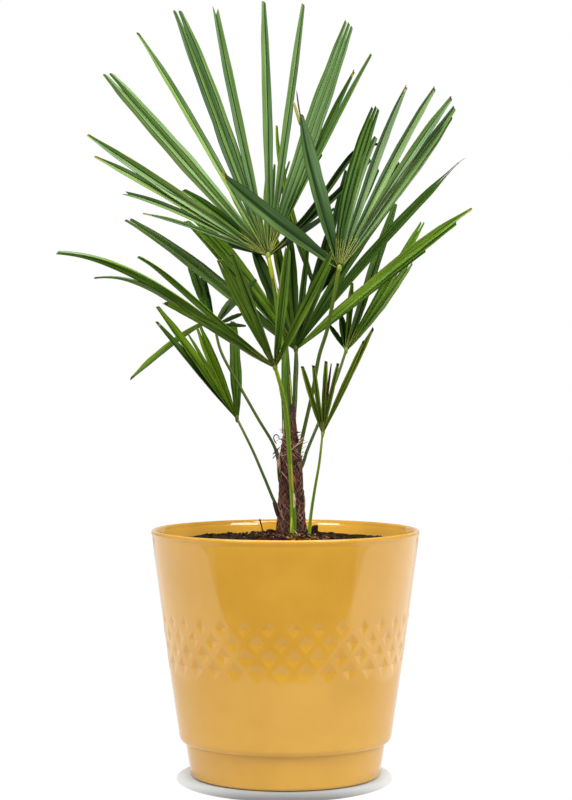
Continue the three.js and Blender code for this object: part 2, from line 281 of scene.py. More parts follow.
def new_material(name, roughness, specular=0.5):
    material = bpy.data.materials.new(name)
    material.use_nodes = True
    tree = material.node_tree
    shader = tree.nodes["Principled BSDF"].inputs
    shader["Roughness"].default_value = roughness
    shader["Specular IOR Level"].default_value = specular
    return material, tree, shader


def add_bump(tree, shader, height, distance, strength):
    bump = linked(tree, "ShaderNodeBump", {"Height": height, "Distance": distance, "Strength": strength})
    tree.links.new(bump.outputs["Normal"], shader["Normal"])


def shades(colour, spread):
    """Darker and lighter versions of a colour."""
    return tuple(c * (1 - spread) for c in colour), tuple(min(1.0, c * (1 + spread)) for c in colour)


GLAZE_TONES = [(0.3, (0.63, 0.318, 0.026)), (0.7, (0.70, 0.365, 0.035))]
SPECK_TONES = [(0.26, (0.55, 0.25, 0.02)), (0.3, (1.0, 1.0, 1.0))]
SPECK_STRENGTH = 0.25
GLAZE_ROUGHNESS, COAT_ROUGHNESS, COAT_WEIGHT = 0.09, 0.03, 0.35
COAT_FADES = (0.5, 0.75)
# Painted light: the glaze is painted paler inside the lip, on the inner wall: radii and heights in metres
# over which that begins
PAINTED_LIGHT_RADII, PAINTED_LIGHT_HEIGHTS, PAINTED_LIGHT_TINT = (0.1490, 0.1482), (0.262, 0.268), (1.27, 1.27, 1.3)


def make_glaze():
    material, tree, shader = new_material("mustard glaze", GLAZE_ROUGHNESS)
    shader["Coat Roughness"].default_value = COAT_ROUGHNESS
    facing = linked(tree, "ShaderNodeLayerWeight", {"Blend": 0.5}).outputs["Facing"]
    tree.links.new(remapped(tree, facing, *COAT_FADES, COAT_WEIGHT, 0.0), shader["Coat Weight"])
    mottle = placed_group(tree, MOTTLE, patch_scale=14.0, grain_scale=900.0)
    glaze = ramp(tree, mottle["Patches"], GLAZE_TONES)
    specks = ramp(tree, mottle["Grain"], SPECK_TONES)
    where = object_place(tree)
    # Painted light on the inner wall: the glaze is made paler inside the lip and above a height
    radius = vector_math(tree, "LENGTH", vector_math(tree, "MULTIPLY", where, (1, 1, 0)))
    painted_light_inside = remapped(tree, radius, *PAINTED_LIGHT_RADII)
    upper = remapped(tree, linked(tree, "ShaderNodeSeparateXYZ", {0: where}).outputs["Z"], *PAINTED_LIGHT_HEIGHTS)
    body = mixed(tree, SPECK_STRENGTH, glaze, specks, "MULTIPLY")
    pale = mixed(tree, 1.0, body, PAINTED_LIGHT_TINT, "MULTIPLY")
    tree.links.new(mixed(tree, math_of(tree, "MULTIPLY", painted_light_inside, upper), body, pale), shader["Base Color"])
    add_bump(tree, shader, noise_of(tree, where, 60.0), 0.0002, 0.35)
    return material


def make_earth(name, dark, light):
    material, tree, shader = new_material(name, 0.95, specular=0.08)
    mottle = placed_group(tree, MOTTLE, patch_scale=160.0, grain_scale=900.0)
    tree.links.new(ramp(tree, mottle["Patches"], [(0.35, dark), (0.65, light)]), shader["Base Color"])
    add_bump(tree, shader, mottle["Grain"], 0.0006, 0.7)
    return material


def make_fibre(name, colour):
    material, tree, shader = new_material(name, 0.8, specular=0.3)
    mottle = placed_group(tree, MOTTLE, patch_scale=130.0, grain_scale=1400.0)
    dark, light = shades(colour, 0.35)
    tree.links.new(ramp(tree, mottle["Patches"], [(0.3, dark), (0.7, light)]), shader["Base Color"])
    add_bump(tree, shader, mottle["Grain"], 0.0004, 0.6)
    return material


# Tones from one edge of a fold over its valley, darkened as painted shade, to the other edge, for usual folds
# and for wide ones. One flank is tinted cool as a painted sheen and the other warm as painted light shining
# through the leaf.
FOLD_SHADE_AND_SHEEN = [
    (0.0, (1.30, 1.15, 0.85)), (0.08, (1.04, 1.0, 0.76)), (0.26, (1.04, 1.02, 0.74)),
    (0.335, (1.50, 1.36, 1.0)), (0.375, (0.66, 0.72, 0.52)), (0.41, (0.19, 0.24, 0.16)),
    (0.59, (0.20, 0.26, 0.21)), (0.66, (0.80, 0.88, 0.98)), (0.90, (1.0, 1.02, 1.25)),
    (1.0, (0.62, 0.64, 0.60))]
WIDE_FOLD_SHADE_AND_SHEEN = [
    (0.0, (1.0, 1.0, 0.85)), (0.22, (1.05, 1.05, 0.9)), (0.30, (1.3, 1.22, 0.95)), (0.34, (0.5, 0.56, 0.38)),
    (0.375, (0.15, 0.21, 0.11)), (0.60, (0.18, 0.25, 0.16)), (0.67, (0.75, 0.82, 0.78)),
    (0.88, (1.05, 1.05, 1.2)), (1.0, (0.8, 0.82, 0.8))]
# Tones from the hub outwards, in tenths of a metre, which darken leaflets towards the hub as painted shade,
# and tones from a stalk's foot to its hub
HUB_SHADE_TONES = [
    (0.0, (0.46, 0.48, 0.38)), (0.25, (0.54, 0.58, 0.46)), (0.6, (0.68, 0.72, 0.62)),
    (1.0, (0.96, 0.96, 0.96))]
STALK_TONES = [
    (0.0, (0.78, 0.82, 0.85)), (0.45, (0.88, 0.90, 0.9)), (0.8, (1.0, 1.0, 1.0)), (0.93, (1.35, 1.22, 0.9)),
    (1.0, (1.8, 1.45, 0.9))]
# Tones that the broad streaks and the soft patches of every leaf lay over its colour
STREAK_TONES = [(0.38, (0.72, 0.80, 0.66)), (0.62, (1.1, 1.08, 1.08))]
PATCH_TONES = [(0.35, (0.86, 0.9, 0.84)), (0.65, (1.0, 1.0, 1.0))]


def make_leaf(name, colour, specular=0.3, across_tones=FOLD_SHADE_AND_SHEEN, along_tones=HUB_SHADE_TONES, roughness=0.5,
              spread=0.30, veins_across=8.0):
    """Satin leaf surface with fine veins along it, soft patches and its tones across and along; for leaflets
    these are painted shade and sheen across the folds and painted shade towards the hub.
    """
    material, tree, shader = new_material(name, roughness, specular)
    veins = placed_group(tree, VEINS, across_scale=veins_across, along_scale=1.6)
    mottle = placed_group(tree, MOTTLE, patch_scale=22.0, grain_scale=600.0)
    dark, light = shades(colour, spread)
    layers = [ramp(tree, veins["Streaks"], STREAK_TONES)]
    if across_tones:
        layers.append(ramp(tree, veins["Place Across"], across_tones))
    if along_tones:
        layers.append(ramp(tree, veins["Place Along"], along_tones))
    layers.append(ramp(tree, mottle["Patches"], PATCH_TONES))
    toned = ramp(tree, veins["Veins"], [(0.32, dark), (0.68, light)])
    for layer in layers:
        toned = mixed(tree, 1.0, toned, layer, "MULTIPLY")
    tree.links.new(toned, shader["Base Color"])
    rough = remapped(tree, mottle["Patches"], 0.3, 0.7, roughness - 0.07, roughness + 0.09)
    tree.links.new(rough, shader["Roughness"])
    add_bump(tree, shader, veins["Veins"], 0.0002, 0.3)
    return material


GLAZE = make_glaze()
SOIL = make_earth("potting soil", (0.011, 0.007, 0.005), (0.032, 0.019, 0.012))
CRUMBS = {
    "dark": make_earth("dark crumbs", (0.013, 0.008, 0.006), (0.041, 0.023, 0.015)),
    "brown": make_earth("bark crumbs", (0.045, 0.021, 0.010), (0.105, 0.048, 0.022)),
    "orange": make_earth("orange bark chips", (0.22, 0.09, 0.025), (0.38, 0.18, 0.06)),
    "straw": make_earth("straw flecks", (0.3, 0.26, 0.1), (0.45, 0.38, 0.18)),
}
FIBRES = {name: make_fibre(f"{name} fibres", colour) for name, colour in (
    ("matted", (0.060, 0.022, 0.015)), ("dark", (0.035, 0.015, 0.011)), ("brown", (0.20, 0.080, 0.050)),
    ("pale", (0.42, 0.24, 0.16)), ("straw", (0.56, 0.40, 0.24)))}
# One tint, a paler copy of sage for two leaflets of the front frond, is painted light on leaflets that lie in
# shade
LEAVES = {
    name: make_leaf(f"{name} leaflet", colour, specular, WIDE_FOLD_SHADE_AND_SHEEN if name == "dusk" else FOLD_SHADE_AND_SHEEN)
    for name, colour, specular in (
        ("sage", (0.128, 0.218, 0.076), 0.3), ("pale", (0.200, 0.312, 0.100), 0.3),
        ("slate", (0.088, 0.162, 0.052), 0.3), ("dusk", (0.066, 0.125, 0.038), 0.15),
        ("green", (0.092, 0.172, 0.034), 0.3), ("deep", (0.049, 0.108, 0.012), 0.12),
        ("shade", (0.024, 0.052, 0.009), 0.12), ("olive", (0.112, 0.195, 0.012), 0.08),
        ("grass", (0.160, 0.292, 0.021), 0.12), ("bright", (0.188, 0.30, 0.038), 0.2),
        ("spring", (0.190, 0.345, 0.025), 0.12), ("silver", (0.275, 0.405, 0.150), 0.2),
        ("moss", (0.255, 0.350, 0.030), 0.12))}
TINTS = {
    name: make_leaf(f"{name} tint", colour, across_tones=None, along_tones=None, roughness=roughness)
    for name, colour, roughness in (
        ("yellow", (0.29, 0.27, 0.03), 0.5), ("brown", (0.10, 0.045, 0.03), 0.7),
        ("purple", (0.09, 0.035, 0.045), 0.6), ("edge", (0.075, 0.050, 0.015), 0.6),
        ("rib", (0.38, 0.38, 0.08), 0.5), ("neck", (0.42, 0.42, 0.02), 0.5),
        ("amber", (0.50, 0.31, 0.04), 0.5), ("knot", (0.25, 0.31, 0.03), 0.5),
        ("dark_knot", (0.065, 0.095, 0.015), 0.5))}
STALKS = {
    name: make_leaf(f"{name} stalk", colour, 0.2, None, STALK_TONES, 0.45, 0.25, veins_across=160.0)
    for name, colour in (
        ("olive", (0.125, 0.20, 0.010)), ("moss", (0.310, 0.430, 0.018)), ("fresh", (0.070, 0.150, 0.016)),
        ("bright", (0.240, 0.365, 0.015)), ("green", (0.074, 0.115, 0.011)), ("deep", (0.058, 0.095, 0.010)))}


# Pot

POT_HEIGHT, RIM_RADIUS, WALL, POT_FLOOR = 284.0, 155.0, 6.4, 9.0
BODY_FOOT_RADIUS, BODY_FOOT_HEIGHT, BODY_BULGE = 123.6, 50.0, 1.0
FOOT_TOP_RADIUS, FOOT_BASE_RADIUS, FOOT_ROUNDING = 115.8, 110.4, 5.0
STEP_HEIGHT, STEP_RADIUS, STEP_GROOVE = 40.0, 117.0, 39.2
LIP_START, LIP_RADIUS, LIP_THICKNESS, LIP_ROUNDING = 274.0, RIM_RADIUS - 0.1, 3.4, 2.8
COLUMNS = 128
START_TURN = math.radians(268)
DIMPLES_ROUND, DIMPLE_ROWS, DIMPLE_DEPTH = 32, 4, 1.75
LOWEST_ROW_HEIGHT, ROW_RISE, CELL_HALF_WIDTH = 135.4, 16.3, 13.75
# Half of a dimple's width and height in the lowest row and in the highest one
LOW_DIMPLE, HIGH_DIMPLE = Vector((11.1, 12.0)), Vector((7.5, 10.0))
DIMPLE_RIM, DIMPLE_BEVEL = 1.07, 0.55
BAND_FOOT = LOWEST_ROW_HEIGHT - ROW_RISE
BAND_TOP = LOWEST_ROW_HEIGHT + DIMPLE_ROWS * ROW_RISE
UNDERSIDE_RADII, INNER_HEIGHTS, INNER_FLOOR_RADIUS = (0, 60, 96), (269, 240, 180, 110, 60), 60
STEP_ROUNDING, GROOVE_ROUNDING, INNER_LIP_ROUNDING = 0.8, 0.7, 1.4


def body_radius(height):
    share = (height - BODY_FOOT_HEIGHT) / (POT_HEIGHT - BODY_FOOT_HEIGHT)
    return between(BODY_FOOT_RADIUS, RIM_RADIUS, share) + BODY_BULGE * math.sin(math.pi * share)


def rounded(start, corner, end, steps):
    """Points of a rounded edge from one (radius, height) to another, bent towards a corner."""
    points = []
    for t in np.linspace(0, 1, steps + 1):
        shares = ((1 - t) ** 2, 2 * t * (1 - t), t * t)
        points.append(tuple(np.dot(shares, (start, corner, end))))
    return points


def add_spun(bm, profile, turn=0.0):
    """A profile of (radius, height) pairs, spun once round the upright axis."""
    verts = [bm.verts.new((r * math.cos(turn), r * math.sin(turn), h)) for r, h in profile]
    edges = [bm.edges.new(pair) for pair in zip(verts, verts[1:])]
    bmesh.ops.spin(
        bm, geom=verts + edges, cent=(0, 0, 0), axis=(0, 0, 1), angle=TURN, steps=COLUMNS, use_merge=True)
    bmesh.ops.remove_doubles(bm, verts=bm.verts, dist=0.02)


def cut_across(bm, place, direction, trim=True):
    """Cuts a flat bmesh along a line, and may trim what lies beyond it."""
    everything = bm.verts[:] + bm.edges[:] + bm.faces[:]
    near = 1e-4 if trim else 1e-3
    bmesh.ops.bisect_plane(
        bm, geom=everything, dist=near, plane_co=place, plane_no=direction, clear_outer=trim)


def dimple_faces(bm):
    """The diamonds of the band, made flat with its width along X and its height along Y."""
    cell = Matrix.Diagonal((CELL_HALF_WIDTH, ROW_RISE, 1, 1))
    for row in range(-1, DIMPLE_ROWS + 1):
        for i in range(-DIMPLES_ROUND // 2 - 1, DIMPLES_ROUND // 2 + 2):
            centre = ((2 * i + row % 2) * CELL_HALF_WIDTH, LOWEST_ROW_HEIGHT + row * ROW_RISE, 0)
            matrix = Matrix.Translation(centre) @ cell
            bmesh.ops.create_circle(bm, cap_ends=True, segments=4, radius=1, matrix=matrix)
    bmesh.ops.remove_doubles(bm, verts=bm.verts, dist=0.01)
    return [f for f in bm.faces if LOWEST_ROW_HEIGHT - 1 < f.calc_center_median().y < BAND_TOP - ROW_RISE / 2]


def dimple_band():
    """The band of dimples, pressed in while it is flat and then rolled round the pot."""
    bm = bmesh.new()
    faces = dimple_faces(bm)
    for spread in (DIMPLE_RIM, 1.0):
        bmesh.ops.inset_individual(bm, faces=faces, thickness=0.5)
        for face in faces:
            centre = face.calc_center_median()
            share = (centre.y - LOWEST_ROW_HEIGHT) / ROW_RISE / (DIMPLE_ROWS - 1)
            half = between(LOW_DIMPLE, HIGH_DIMPLE, share) * spread
            size = [max(v.co[axis] for v in face.verts) - centre[axis] for axis in (0, 1)]
            scale = (half.x / size[0], half.y / size[1], 1)
            bmesh.ops.scale(bm, vec=scale, space=Matrix.Translation(-centre), verts=face.verts)
    creases = [edge for face in faces for edge in face.edges]
    for vert in bmesh.ops.poke(bm, faces=faces, offset=-DIMPLE_DEPTH)["verts"]:
        creases.extend(vert.link_edges)
    bmesh.ops.bevel(
        bm, geom=creases, offset=DIMPLE_BEVEL, offset_type="OFFSET", segments=2, profile=0.5, affect="EDGES",
        material=-1, clamp_overlap=True)
    half_round = DIMPLES_ROUND * CELL_HALF_WIDTH
    for side in (-1, 1):
        cut_across(bm, (side * half_round, 0, 0), (side, 0, 0))
    cut_across(bm, (0, BAND_FOOT, 0), (0, -1, 0))
    cut_across(bm, (0, BAND_TOP, 0), (0, 1, 0))
    for column in range(1, COLUMNS):
        cut_across(bm, (half_round * (2 * column / COLUMNS - 1), 0, 0), (1, 0, 0), trim=False)
    for vert in bm.verts:
        turn = START_TURN + math.pi * vert.co.x / half_round
        radius = body_radius(vert.co.y) + vert.co.z
        vert.co = (radius * math.cos(turn), radius * math.sin(turn), vert.co.y)
    return bm


def make_pot():
    bm = dimple_band()
    foot, groove, inner_start = FOOT_BASE_RADIUS, FOOT_TOP_RADIUS, body_radius(LIP_START) - WALL
    below = [(radius, 0) for radius in UNDERSIDE_RADII]
    below += rounded((foot - FOOT_ROUNDING, 0), (foot, 0), (foot, FOOT_ROUNDING), 8)
    below += [(between(foot, groove, s), between(FOOT_ROUNDING, STEP_GROOVE, s)) for s in (0.03, 0.5, 0.97)]
    below += rounded(
        (groove, STEP_GROOVE), (groove, STEP_HEIGHT - 0.1), (groove + GROOVE_ROUNDING, STEP_HEIGHT), 3)
    below += rounded(
        (STEP_RADIUS, STEP_HEIGHT), (BODY_FOOT_RADIUS - STEP_ROUNDING, STEP_HEIGHT),
        (BODY_FOOT_RADIUS, BODY_FOOT_HEIGHT - 0.6), 9)
    below += [(body_radius(h), h) for h in np.linspace(BODY_FOOT_HEIGHT + 2, BAND_FOOT, 8)]
    above = [(body_radius(h), h) for h in np.linspace(BAND_TOP, LIP_START, 9)]
    above += rounded(
        (body_radius(LIP_START) + 0.05, LIP_START + 1.5), (body_radius(LIP_START) + 0.1, LIP_START + 3.5),
        (LIP_RADIUS, LIP_START + 6), 3)
    above += rounded(
        (LIP_RADIUS, POT_HEIGHT - LIP_ROUNDING), (LIP_RADIUS, POT_HEIGHT), (RIM_RADIUS - 2, POT_HEIGHT), 8)
    above += rounded(
        (RIM_RADIUS - LIP_THICKNESS, POT_HEIGHT), (inner_start + INNER_LIP_ROUNDING, POT_HEIGHT - 1),
        (inner_start, LIP_START), 10)
    above += [(body_radius(h) - WALL, h) for h in INNER_HEIGHTS]
    above += [(groove - WALL, STEP_HEIGHT - 2), (foot - WALL, POT_FLOOR + 4), (foot - WALL - 4, POT_FLOOR)]
    above += [(INNER_FLOOR_RADIUS, POT_FLOOR), (0, POT_FLOOR)]
    for profile in (below, above):
        add_spun(bm, profile, START_TURN)
    finish_piece("glazed_pot", bm, GLAZE, ["pot"], crease=50)


# Soil

# The soil's upper surface as (height, radius) pairs
SOIL_PROFILE = [(281.0, 0.0), (281.0, 21.0), (275.5, 60.0), (271.0, 100.0), (268.5, 146.0)]
# Its unevenness: how high, how fine and in which layer of the noise
SOIL_LUMPS = ((2.2, 0.045, 0), (1.3, 0.13, 7), (0.8, 0.4, 3))
SOIL_SINK, EVEN_FROM, EVEN_OVER = 0.6, 138, 8
SOIL_SIDE_TOP, SOIL_REACH, SOIL_RINGS, WALL_GAP, FLOOR_GAP = 268, 143, 76, 0.4, 0.3
TRUNK_FOOT_ACROSS, TRUNK_CLEARANCE = 6.4, 19
# Where crumbs gather in front of the trunk, and how widely, across and back
GATHERED_MIDDLE, GATHERED_SPREAD = (14, -34), (20, 14)
# Beyond this radius crumbs have only this share of their size
OUTER_ZONE, OUTER_SIZE = 105, 0.55
LUMP_CORNER, LUMP_SIDE = 0.62, 0.744
# Each kind of crumbs: their number, smallest and largest size, flatness and the share that is gathered
CRUMB_KINDS = {
    "dark": (2600, 0.8, 4.2, 0.7, 0.1), "brown": (900, 0.8, 4.0, 0.6, 0.3),
    "orange": (230, 0.8, 3.8, 0.6, 0.6), "straw": (160, 0.5, 2.2, 0.6, 0.5)}
BARK_PLACE, BARK_REACH, BARK_LEAN = (33.5, 4, 281.5), (7.4, 7, 13), 2
TWIG = [(-24, -4, 277), (-26.5, -5, 284), (-28.4, -5, 291), (-30, -5, 296.5)]
STRAW = [(9.5, -26, 285.5), (13, -28.5, 281.5), (17.5, -31, 279)]


def soil_height(x, y):
    radius = math.hypot(x, y)
    lumps = sum(high * noise.noise(Vector((x, y, layer)) * fine) for high, fine, layer in SOIL_LUMPS)
    level = value_at(SOIL_PROFILE, radius) - SOIL_SINK
    return level + lumps * (1 - eased((radius - EVEN_FROM) / EVEN_OVER))


def make_soil():
    bm = bmesh.new()
    wall = body_radius(SOIL_SIDE_TOP + 1) - WALL - WALL_GAP
    profile = [
        (0, POT_FLOOR + FLOOR_GAP), (FOOT_BASE_RADIUS - WALL - 4.5, POT_FLOOR + FLOOR_GAP),
        (FOOT_TOP_RADIUS - WALL - 1, STEP_HEIGHT), (BODY_FOOT_RADIUS - WALL - 1, BODY_FOOT_HEIGHT + 2),
        (wall, SOIL_SIDE_TOP - 2)]
    profile += [(r, SOIL_SIDE_TOP) for r in np.linspace(wall, 0, SOIL_RINGS)]
    add_spun(bm, profile)
    for vert in bm.verts:
        if vert.co.z > SOIL_SIDE_TOP - 1:
            vert.co.z = soil_height(vert.co.x, vert.co.y)
    finish_piece("potting_soil", bm, SOIL, ["soil"])


def scattered(count, seed, low, high, gathered):
    """Seeded places on the soil, a share of them gathered in front of the trunk, and a size for each."""
    rng = random.Random(seed)
    places, sizes = [], []
    while len(places) < count:
        radius, turn = (SOIL_REACH + 1) * math.sqrt(rng.random()), TURN * rng.random()
        x, y = radius * math.cos(turn), radius * math.sin(turn)
        if rng.random() < gathered:
            x, y = (rng.gauss(*spread) for spread in zip(GATHERED_MIDDLE, GATHERED_SPREAD))
            radius = math.hypot(x, y)
        size = between(low, high, rng.random() ** 1.8) * (1 if radius < OUTER_ZONE else OUTER_SIZE)
        if math.hypot(x - TRUNK_FOOT_ACROSS, y) < TRUNK_CLEARANCE + size or radius + size > SOIL_REACH:
            continue
        places.append(np.array((x, y, soil_height(x, y) + 0.15 * size)))
        sizes.append(size)
    return places, sizes


def crumb_template():
    """The corners and faces of a small lump with ten corners."""
    lump = bmesh.new()
    for corner in ((1, 1, 1), (1, -1, -1), (-1, 1, -1), (-1, -1, 1)):
        lump.verts.new(Vector(corner) * LUMP_CORNER)
    for axis in range(3):
        for side in (LUMP_SIDE, -LUMP_SIDE):
            corner = Vector()
            corner[axis] = side
            lump.verts.new(corner)
    bmesh.ops.convex_hull(lump, input=lump.verts)
    bmesh.ops.delete(lump, geom=[v for v in lump.verts if not v.link_faces], context="VERTS")
    lump.verts.index_update()
    corners = np.array([v.co for v in lump.verts])
    faces = [[v.index for v in f.verts] for f in lump.faces]
    lump.free()
    return corners, faces


def add_crumbs(name, count, low, high, flatness, gathered):
    """Many small angular lumps on the soil as one piece."""
    corners, corner_faces = crumb_template()
    rng = np.random.default_rng(count)
    verts, faces = [], []
    for spot, size in zip(*scattered(count, name, low, high, gathered)):
        turn = np.array(Matrix.Rotation(rng.uniform(0, TURN), 3, Vector(rng.normal(size=3)).normalized()))
        stretch = rng.uniform(0.6, 1.3, 3)
        shape = (corners * (1 + rng.uniform(-0.25, 0.25, corners.shape)) * stretch * size) @ turn.T
        shape[:, 2] *= flatness
        faces.extend([[len(verts) + i for i in face] for face in corner_faces])
        verts.extend((shape + spot) * MM)
    mesh = bpy.data.meshes.new(f"soil_crumbs_{name}")
    mesh.from_pydata([tuple(v) for v in verts], [], faces)
    add_piece(f"soil_crumbs_{name}", mesh, CRUMBS[name])


def make_crumbs():
    for name, measures in CRUMB_KINDS.items():
        add_crumbs(name, *measures)
    chunk = bmesh.new()
    bmesh.ops.create_cube(chunk, size=1)
    bmesh.ops.subdivide_edges(chunk, edges=chunk.edges, cuts=5, use_grid_fill=True)
    for vert in chunk.verts:
        rough = noise.noise(vert.co * 3.1) * 0.22 + noise.noise(vert.co * 7 + Vector((5, 0, 0))) * 0.1
        at = vert.co.normalized() * between(vert.co.length, 0.6, 0.45) * (1 + rough)
        vert.co = Vector(BARK_PLACE) + at * Vector(BARK_REACH) + Vector((BARK_LEAN * at.z, 0, 0))
    finish_piece("soil_bark_chunk", chunk, CRUMBS["dark"])
    twig = smooth_path(TWIG, 14)
    add_strands("soil_twig", [twig, twig[-4:] + [0, 0, 0.4]], [0.85, 1.1], FIBRES["dark"], 6)
    add_strands("soil_straw", [smooth_path(STRAW, 10)], [0.6], FIBRES["straw"], 5)


# Trunk

TRUNK_BASE, TRUNK_TOP = 281.3, 399.0
TRUNK_RADII = [
    (17.8, TRUNK_BASE), (15.4, 292), (13.6, 325), (12.6, 346), (11.4, 369), (8.8, 384), (6.0, TRUNK_TOP)]
TRUNK_LEAN = [(6.8, TRUNK_BASE), (6.4, 350), (5.2, TRUNK_TOP)]
FIBRE_SLANTS = (-1.1, -0.6, -0.3, 0.3, 0.6, 1.1)
# Each kind of loose fibre: its number, its lift off the trunk, its radius, and the heights where it starts
FIBRE_KINDS = {
    "dark": (420, 0.45, 0.42, 276, 390), "brown": (700, 0.6, 0.3, 276, 390),
    "pale": (220, 1.0, 0.26, 278, 380)}
HAIR_COUNT, LONG_HAIR_RADIUS = 90, 0.8


def outward(turn):
    return Vector((math.cos(turn), math.sin(turn), 0))


def trunk_point(turn, height, lift=0.0):
    """A point on the trunk or lifted off it, with its lumps and the criss-cross of its fibre sheaths."""
    radius = value_at(TRUNK_RADII, height)
    at = Vector((math.cos(turn), math.sin(turn), height / 34)) * 1.6
    lumps = 0.9 * noise.noise(at * 1.3) + 0.5 * noise.noise(at * 3.7)
    rising, falling = turn * 11 + height * 0.42, turn * 11 - height * 0.42 + 1.3
    weave = 0.16 * (math.sin(rising) ** 2 + math.sin(falling) ** 2 - 1)
    edge = eased((height - TRUNK_BASE) / 4)
    reach = radius + (lumps + weave) * edge * (0.55 + 0.45 * radius / 16) + lift
    return Vector((value_at(TRUNK_LEAN, height), 0, height)) + outward(turn) * reach


def make_trunk():
    bm = bmesh.new()
    columns, rows = 120, 110
    for vert, (column, row) in grid_cells(bm, columns, rows).items():
        turn = TURN * (column / columns - 0.5)
        point = trunk_point(turn, between(TRUNK_BASE, TRUNK_TOP, row / rows))
        fine = 0.3 * noise.noise(point * 0.9) + 0.2 * noise.noise(point * 2.1)
        vert.co = point + outward(turn) * fine
    bmesh.ops.remove_doubles(bm, verts=bm.verts, dist=1e-3)
    bmesh.ops.holes_fill(bm, edges=[e for e in bm.edges if e.is_boundary], sides=columns)
    finish_piece("trunk_bark", bm, FIBRES["matted"], ["trunk"], crease=60)


def trunk_fibre(rng, lean, low, high, lift):
    """A fibre that climbs the trunk at a slant."""
    turn, height, run = TURN * rng.random(), between(low, high, rng.random()), between(7, 22, rng.random())
    points = []
    for share in np.linspace(0, 1, 9):
        h = min(max(height + run * share, TRUNK_BASE), TRUNK_TOP - 1)
        round_it = (lean * run * share + 0.12 * math.sin(5 * share + turn)) / value_at(TRUNK_RADII, h)
        points.append(trunk_point(turn + round_it, h, lift * (0.35 + math.sin(math.pi * share))))
    return points


def trunk_hair(rng):
    """A loose fibre that stands off the upper trunk."""
    turn, height = TURN * rng.random(), between(362, 398, rng.random())
    start = trunk_point(turn, height, -0.5)
    out, side = outward(turn), outward(turn + TURN / 4) * rng.uniform(-0.8, 0.8)
    reach, rise = between(3, 10, rng.random() ** 1.5), rng.uniform(-2, 7)
    end_rise = rise - rng.uniform(-3, 3)
    return smooth_path([
        start, start + (out + side) * reach * 0.4 + Vector((0, 0, rise * 0.7)),
        start + (out * 0.8 + side) * reach * 0.9 + Vector((0, 0, rise)),
        start + (out + side * 1.6) * reach + Vector((0, 0, end_rise))], 12)


# Single hairs that show from the front, and torn edges with their radii
LONG_HAIRS = [
    [(-6.5, -9, 391), (-11, -9, 394), (-13.5, -9, 391), (-12, -9, 386), (-10, -9, 383)],
    [(-6, -9, 380), (-10, -9, 376), (-15, -9, 371)], [(-6, -10, 371), (-11, -10, 370), (-15, -10, 366)],
    [(10, -8, 394), (13, -8, 397), (17, -8, 396)], [(12, -8, 391), (14, -8, 388), (13, -8, 386)]]
SHEATH_SPLITS = [
    (0.75, [(5, -15, 375), (12, -15.5, 381), (21, -14, 387)]),
    (0.7, [(11, -14, 380), (16, -14.5, 386), (21, -13, 391)]),
    (0.5, [(-8, -13, 371), (-3, -15, 370), (3, -16, 372)]),
    (0.6, [(-5, -14, 352), (-1, -16, 347), (3, -17, 343)]),
    (1.0, [(-9, -11, 366), (-8.5, -12, 360), (-9.5, -12, 353)])]


def make_trunk_fibres():
    for name, (count, lift, radius, low, high) in FIBRE_KINDS.items():
        rng = random.Random(f"fibres {name}")
        paths = []
        for _ in range(count):
            slant, loose = rng.choice(FIBRE_SLANTS), between(0.5, 1.5, rng.random())
            paths.append(trunk_fibre(rng, slant, low, high, lift * loose))
        radii = [radius * between(0.7, 1.3, rng.random()) for _ in paths]
        add_strands(f"trunk_fibres_{name}", paths, radii, FIBRES[name])
    rng = random.Random("hairs")
    hairs, radii = [], []
    for _ in range(HAIR_COUNT):
        hairs.append(trunk_hair(rng))
        radii.append(between(0.2, 0.42, rng.random()))
    for points in LONG_HAIRS:
        hairs.append(smooth_path(points, 16))
        radii.append(LONG_HAIR_RADIUS)
    add_strands("trunk_hairs", hairs, radii, FIBRES["dark"])
    paths = [smooth_path(points, 12) for _, points in SHEATH_SPLITS]
    add_strands("sheath_splits", paths, [radius for radius, _ in SHEATH_SPLITS], FIBRES["pale"], 5)


# Crown sheath and stalks

FRONT_EYE, EYE_HEIGHT = 2700.0, 500.0


def place(point):
    """The point that shows at across and up from the front, and lies back from the plane of the trunk."""
    across, back, up = point
    spread = 1 + back / FRONT_EYE
    return np.array((across * spread, back, EYE_HEIGHT + (up - EYE_HEIGHT) * spread))


# Each strip of the sheath: its material, its points, its radii and how flat it is
SHEATH_STRIPS = {
    "sheath_green": (
        STALKS["fresh"], [(2, -2, 396), (1, -3, 412), (-1, -2, 436), (-1.5, -1.5, 470), (-2, -1, 496)],
        [6.2, 4.6, 3.6, 3.3, 2.4], 0.8),
    "sheath_inner": (
        STALKS["deep"], [(6, 2, 397), (5.2, 2, 415), (3.8, 1, 440), (2.0, 1, 468), (0.6, 1, 497)],
        [5.2, 4.6, 4.2, 3.6, 2.6], 0.9),
    "sheath_back": (
        STALKS["deep"], [(4, 4, 397), (4, 4, 420), (1, 3, 450), (0, 2, 480)], [4.4, 3.6, 3, 2], 0.9),
}
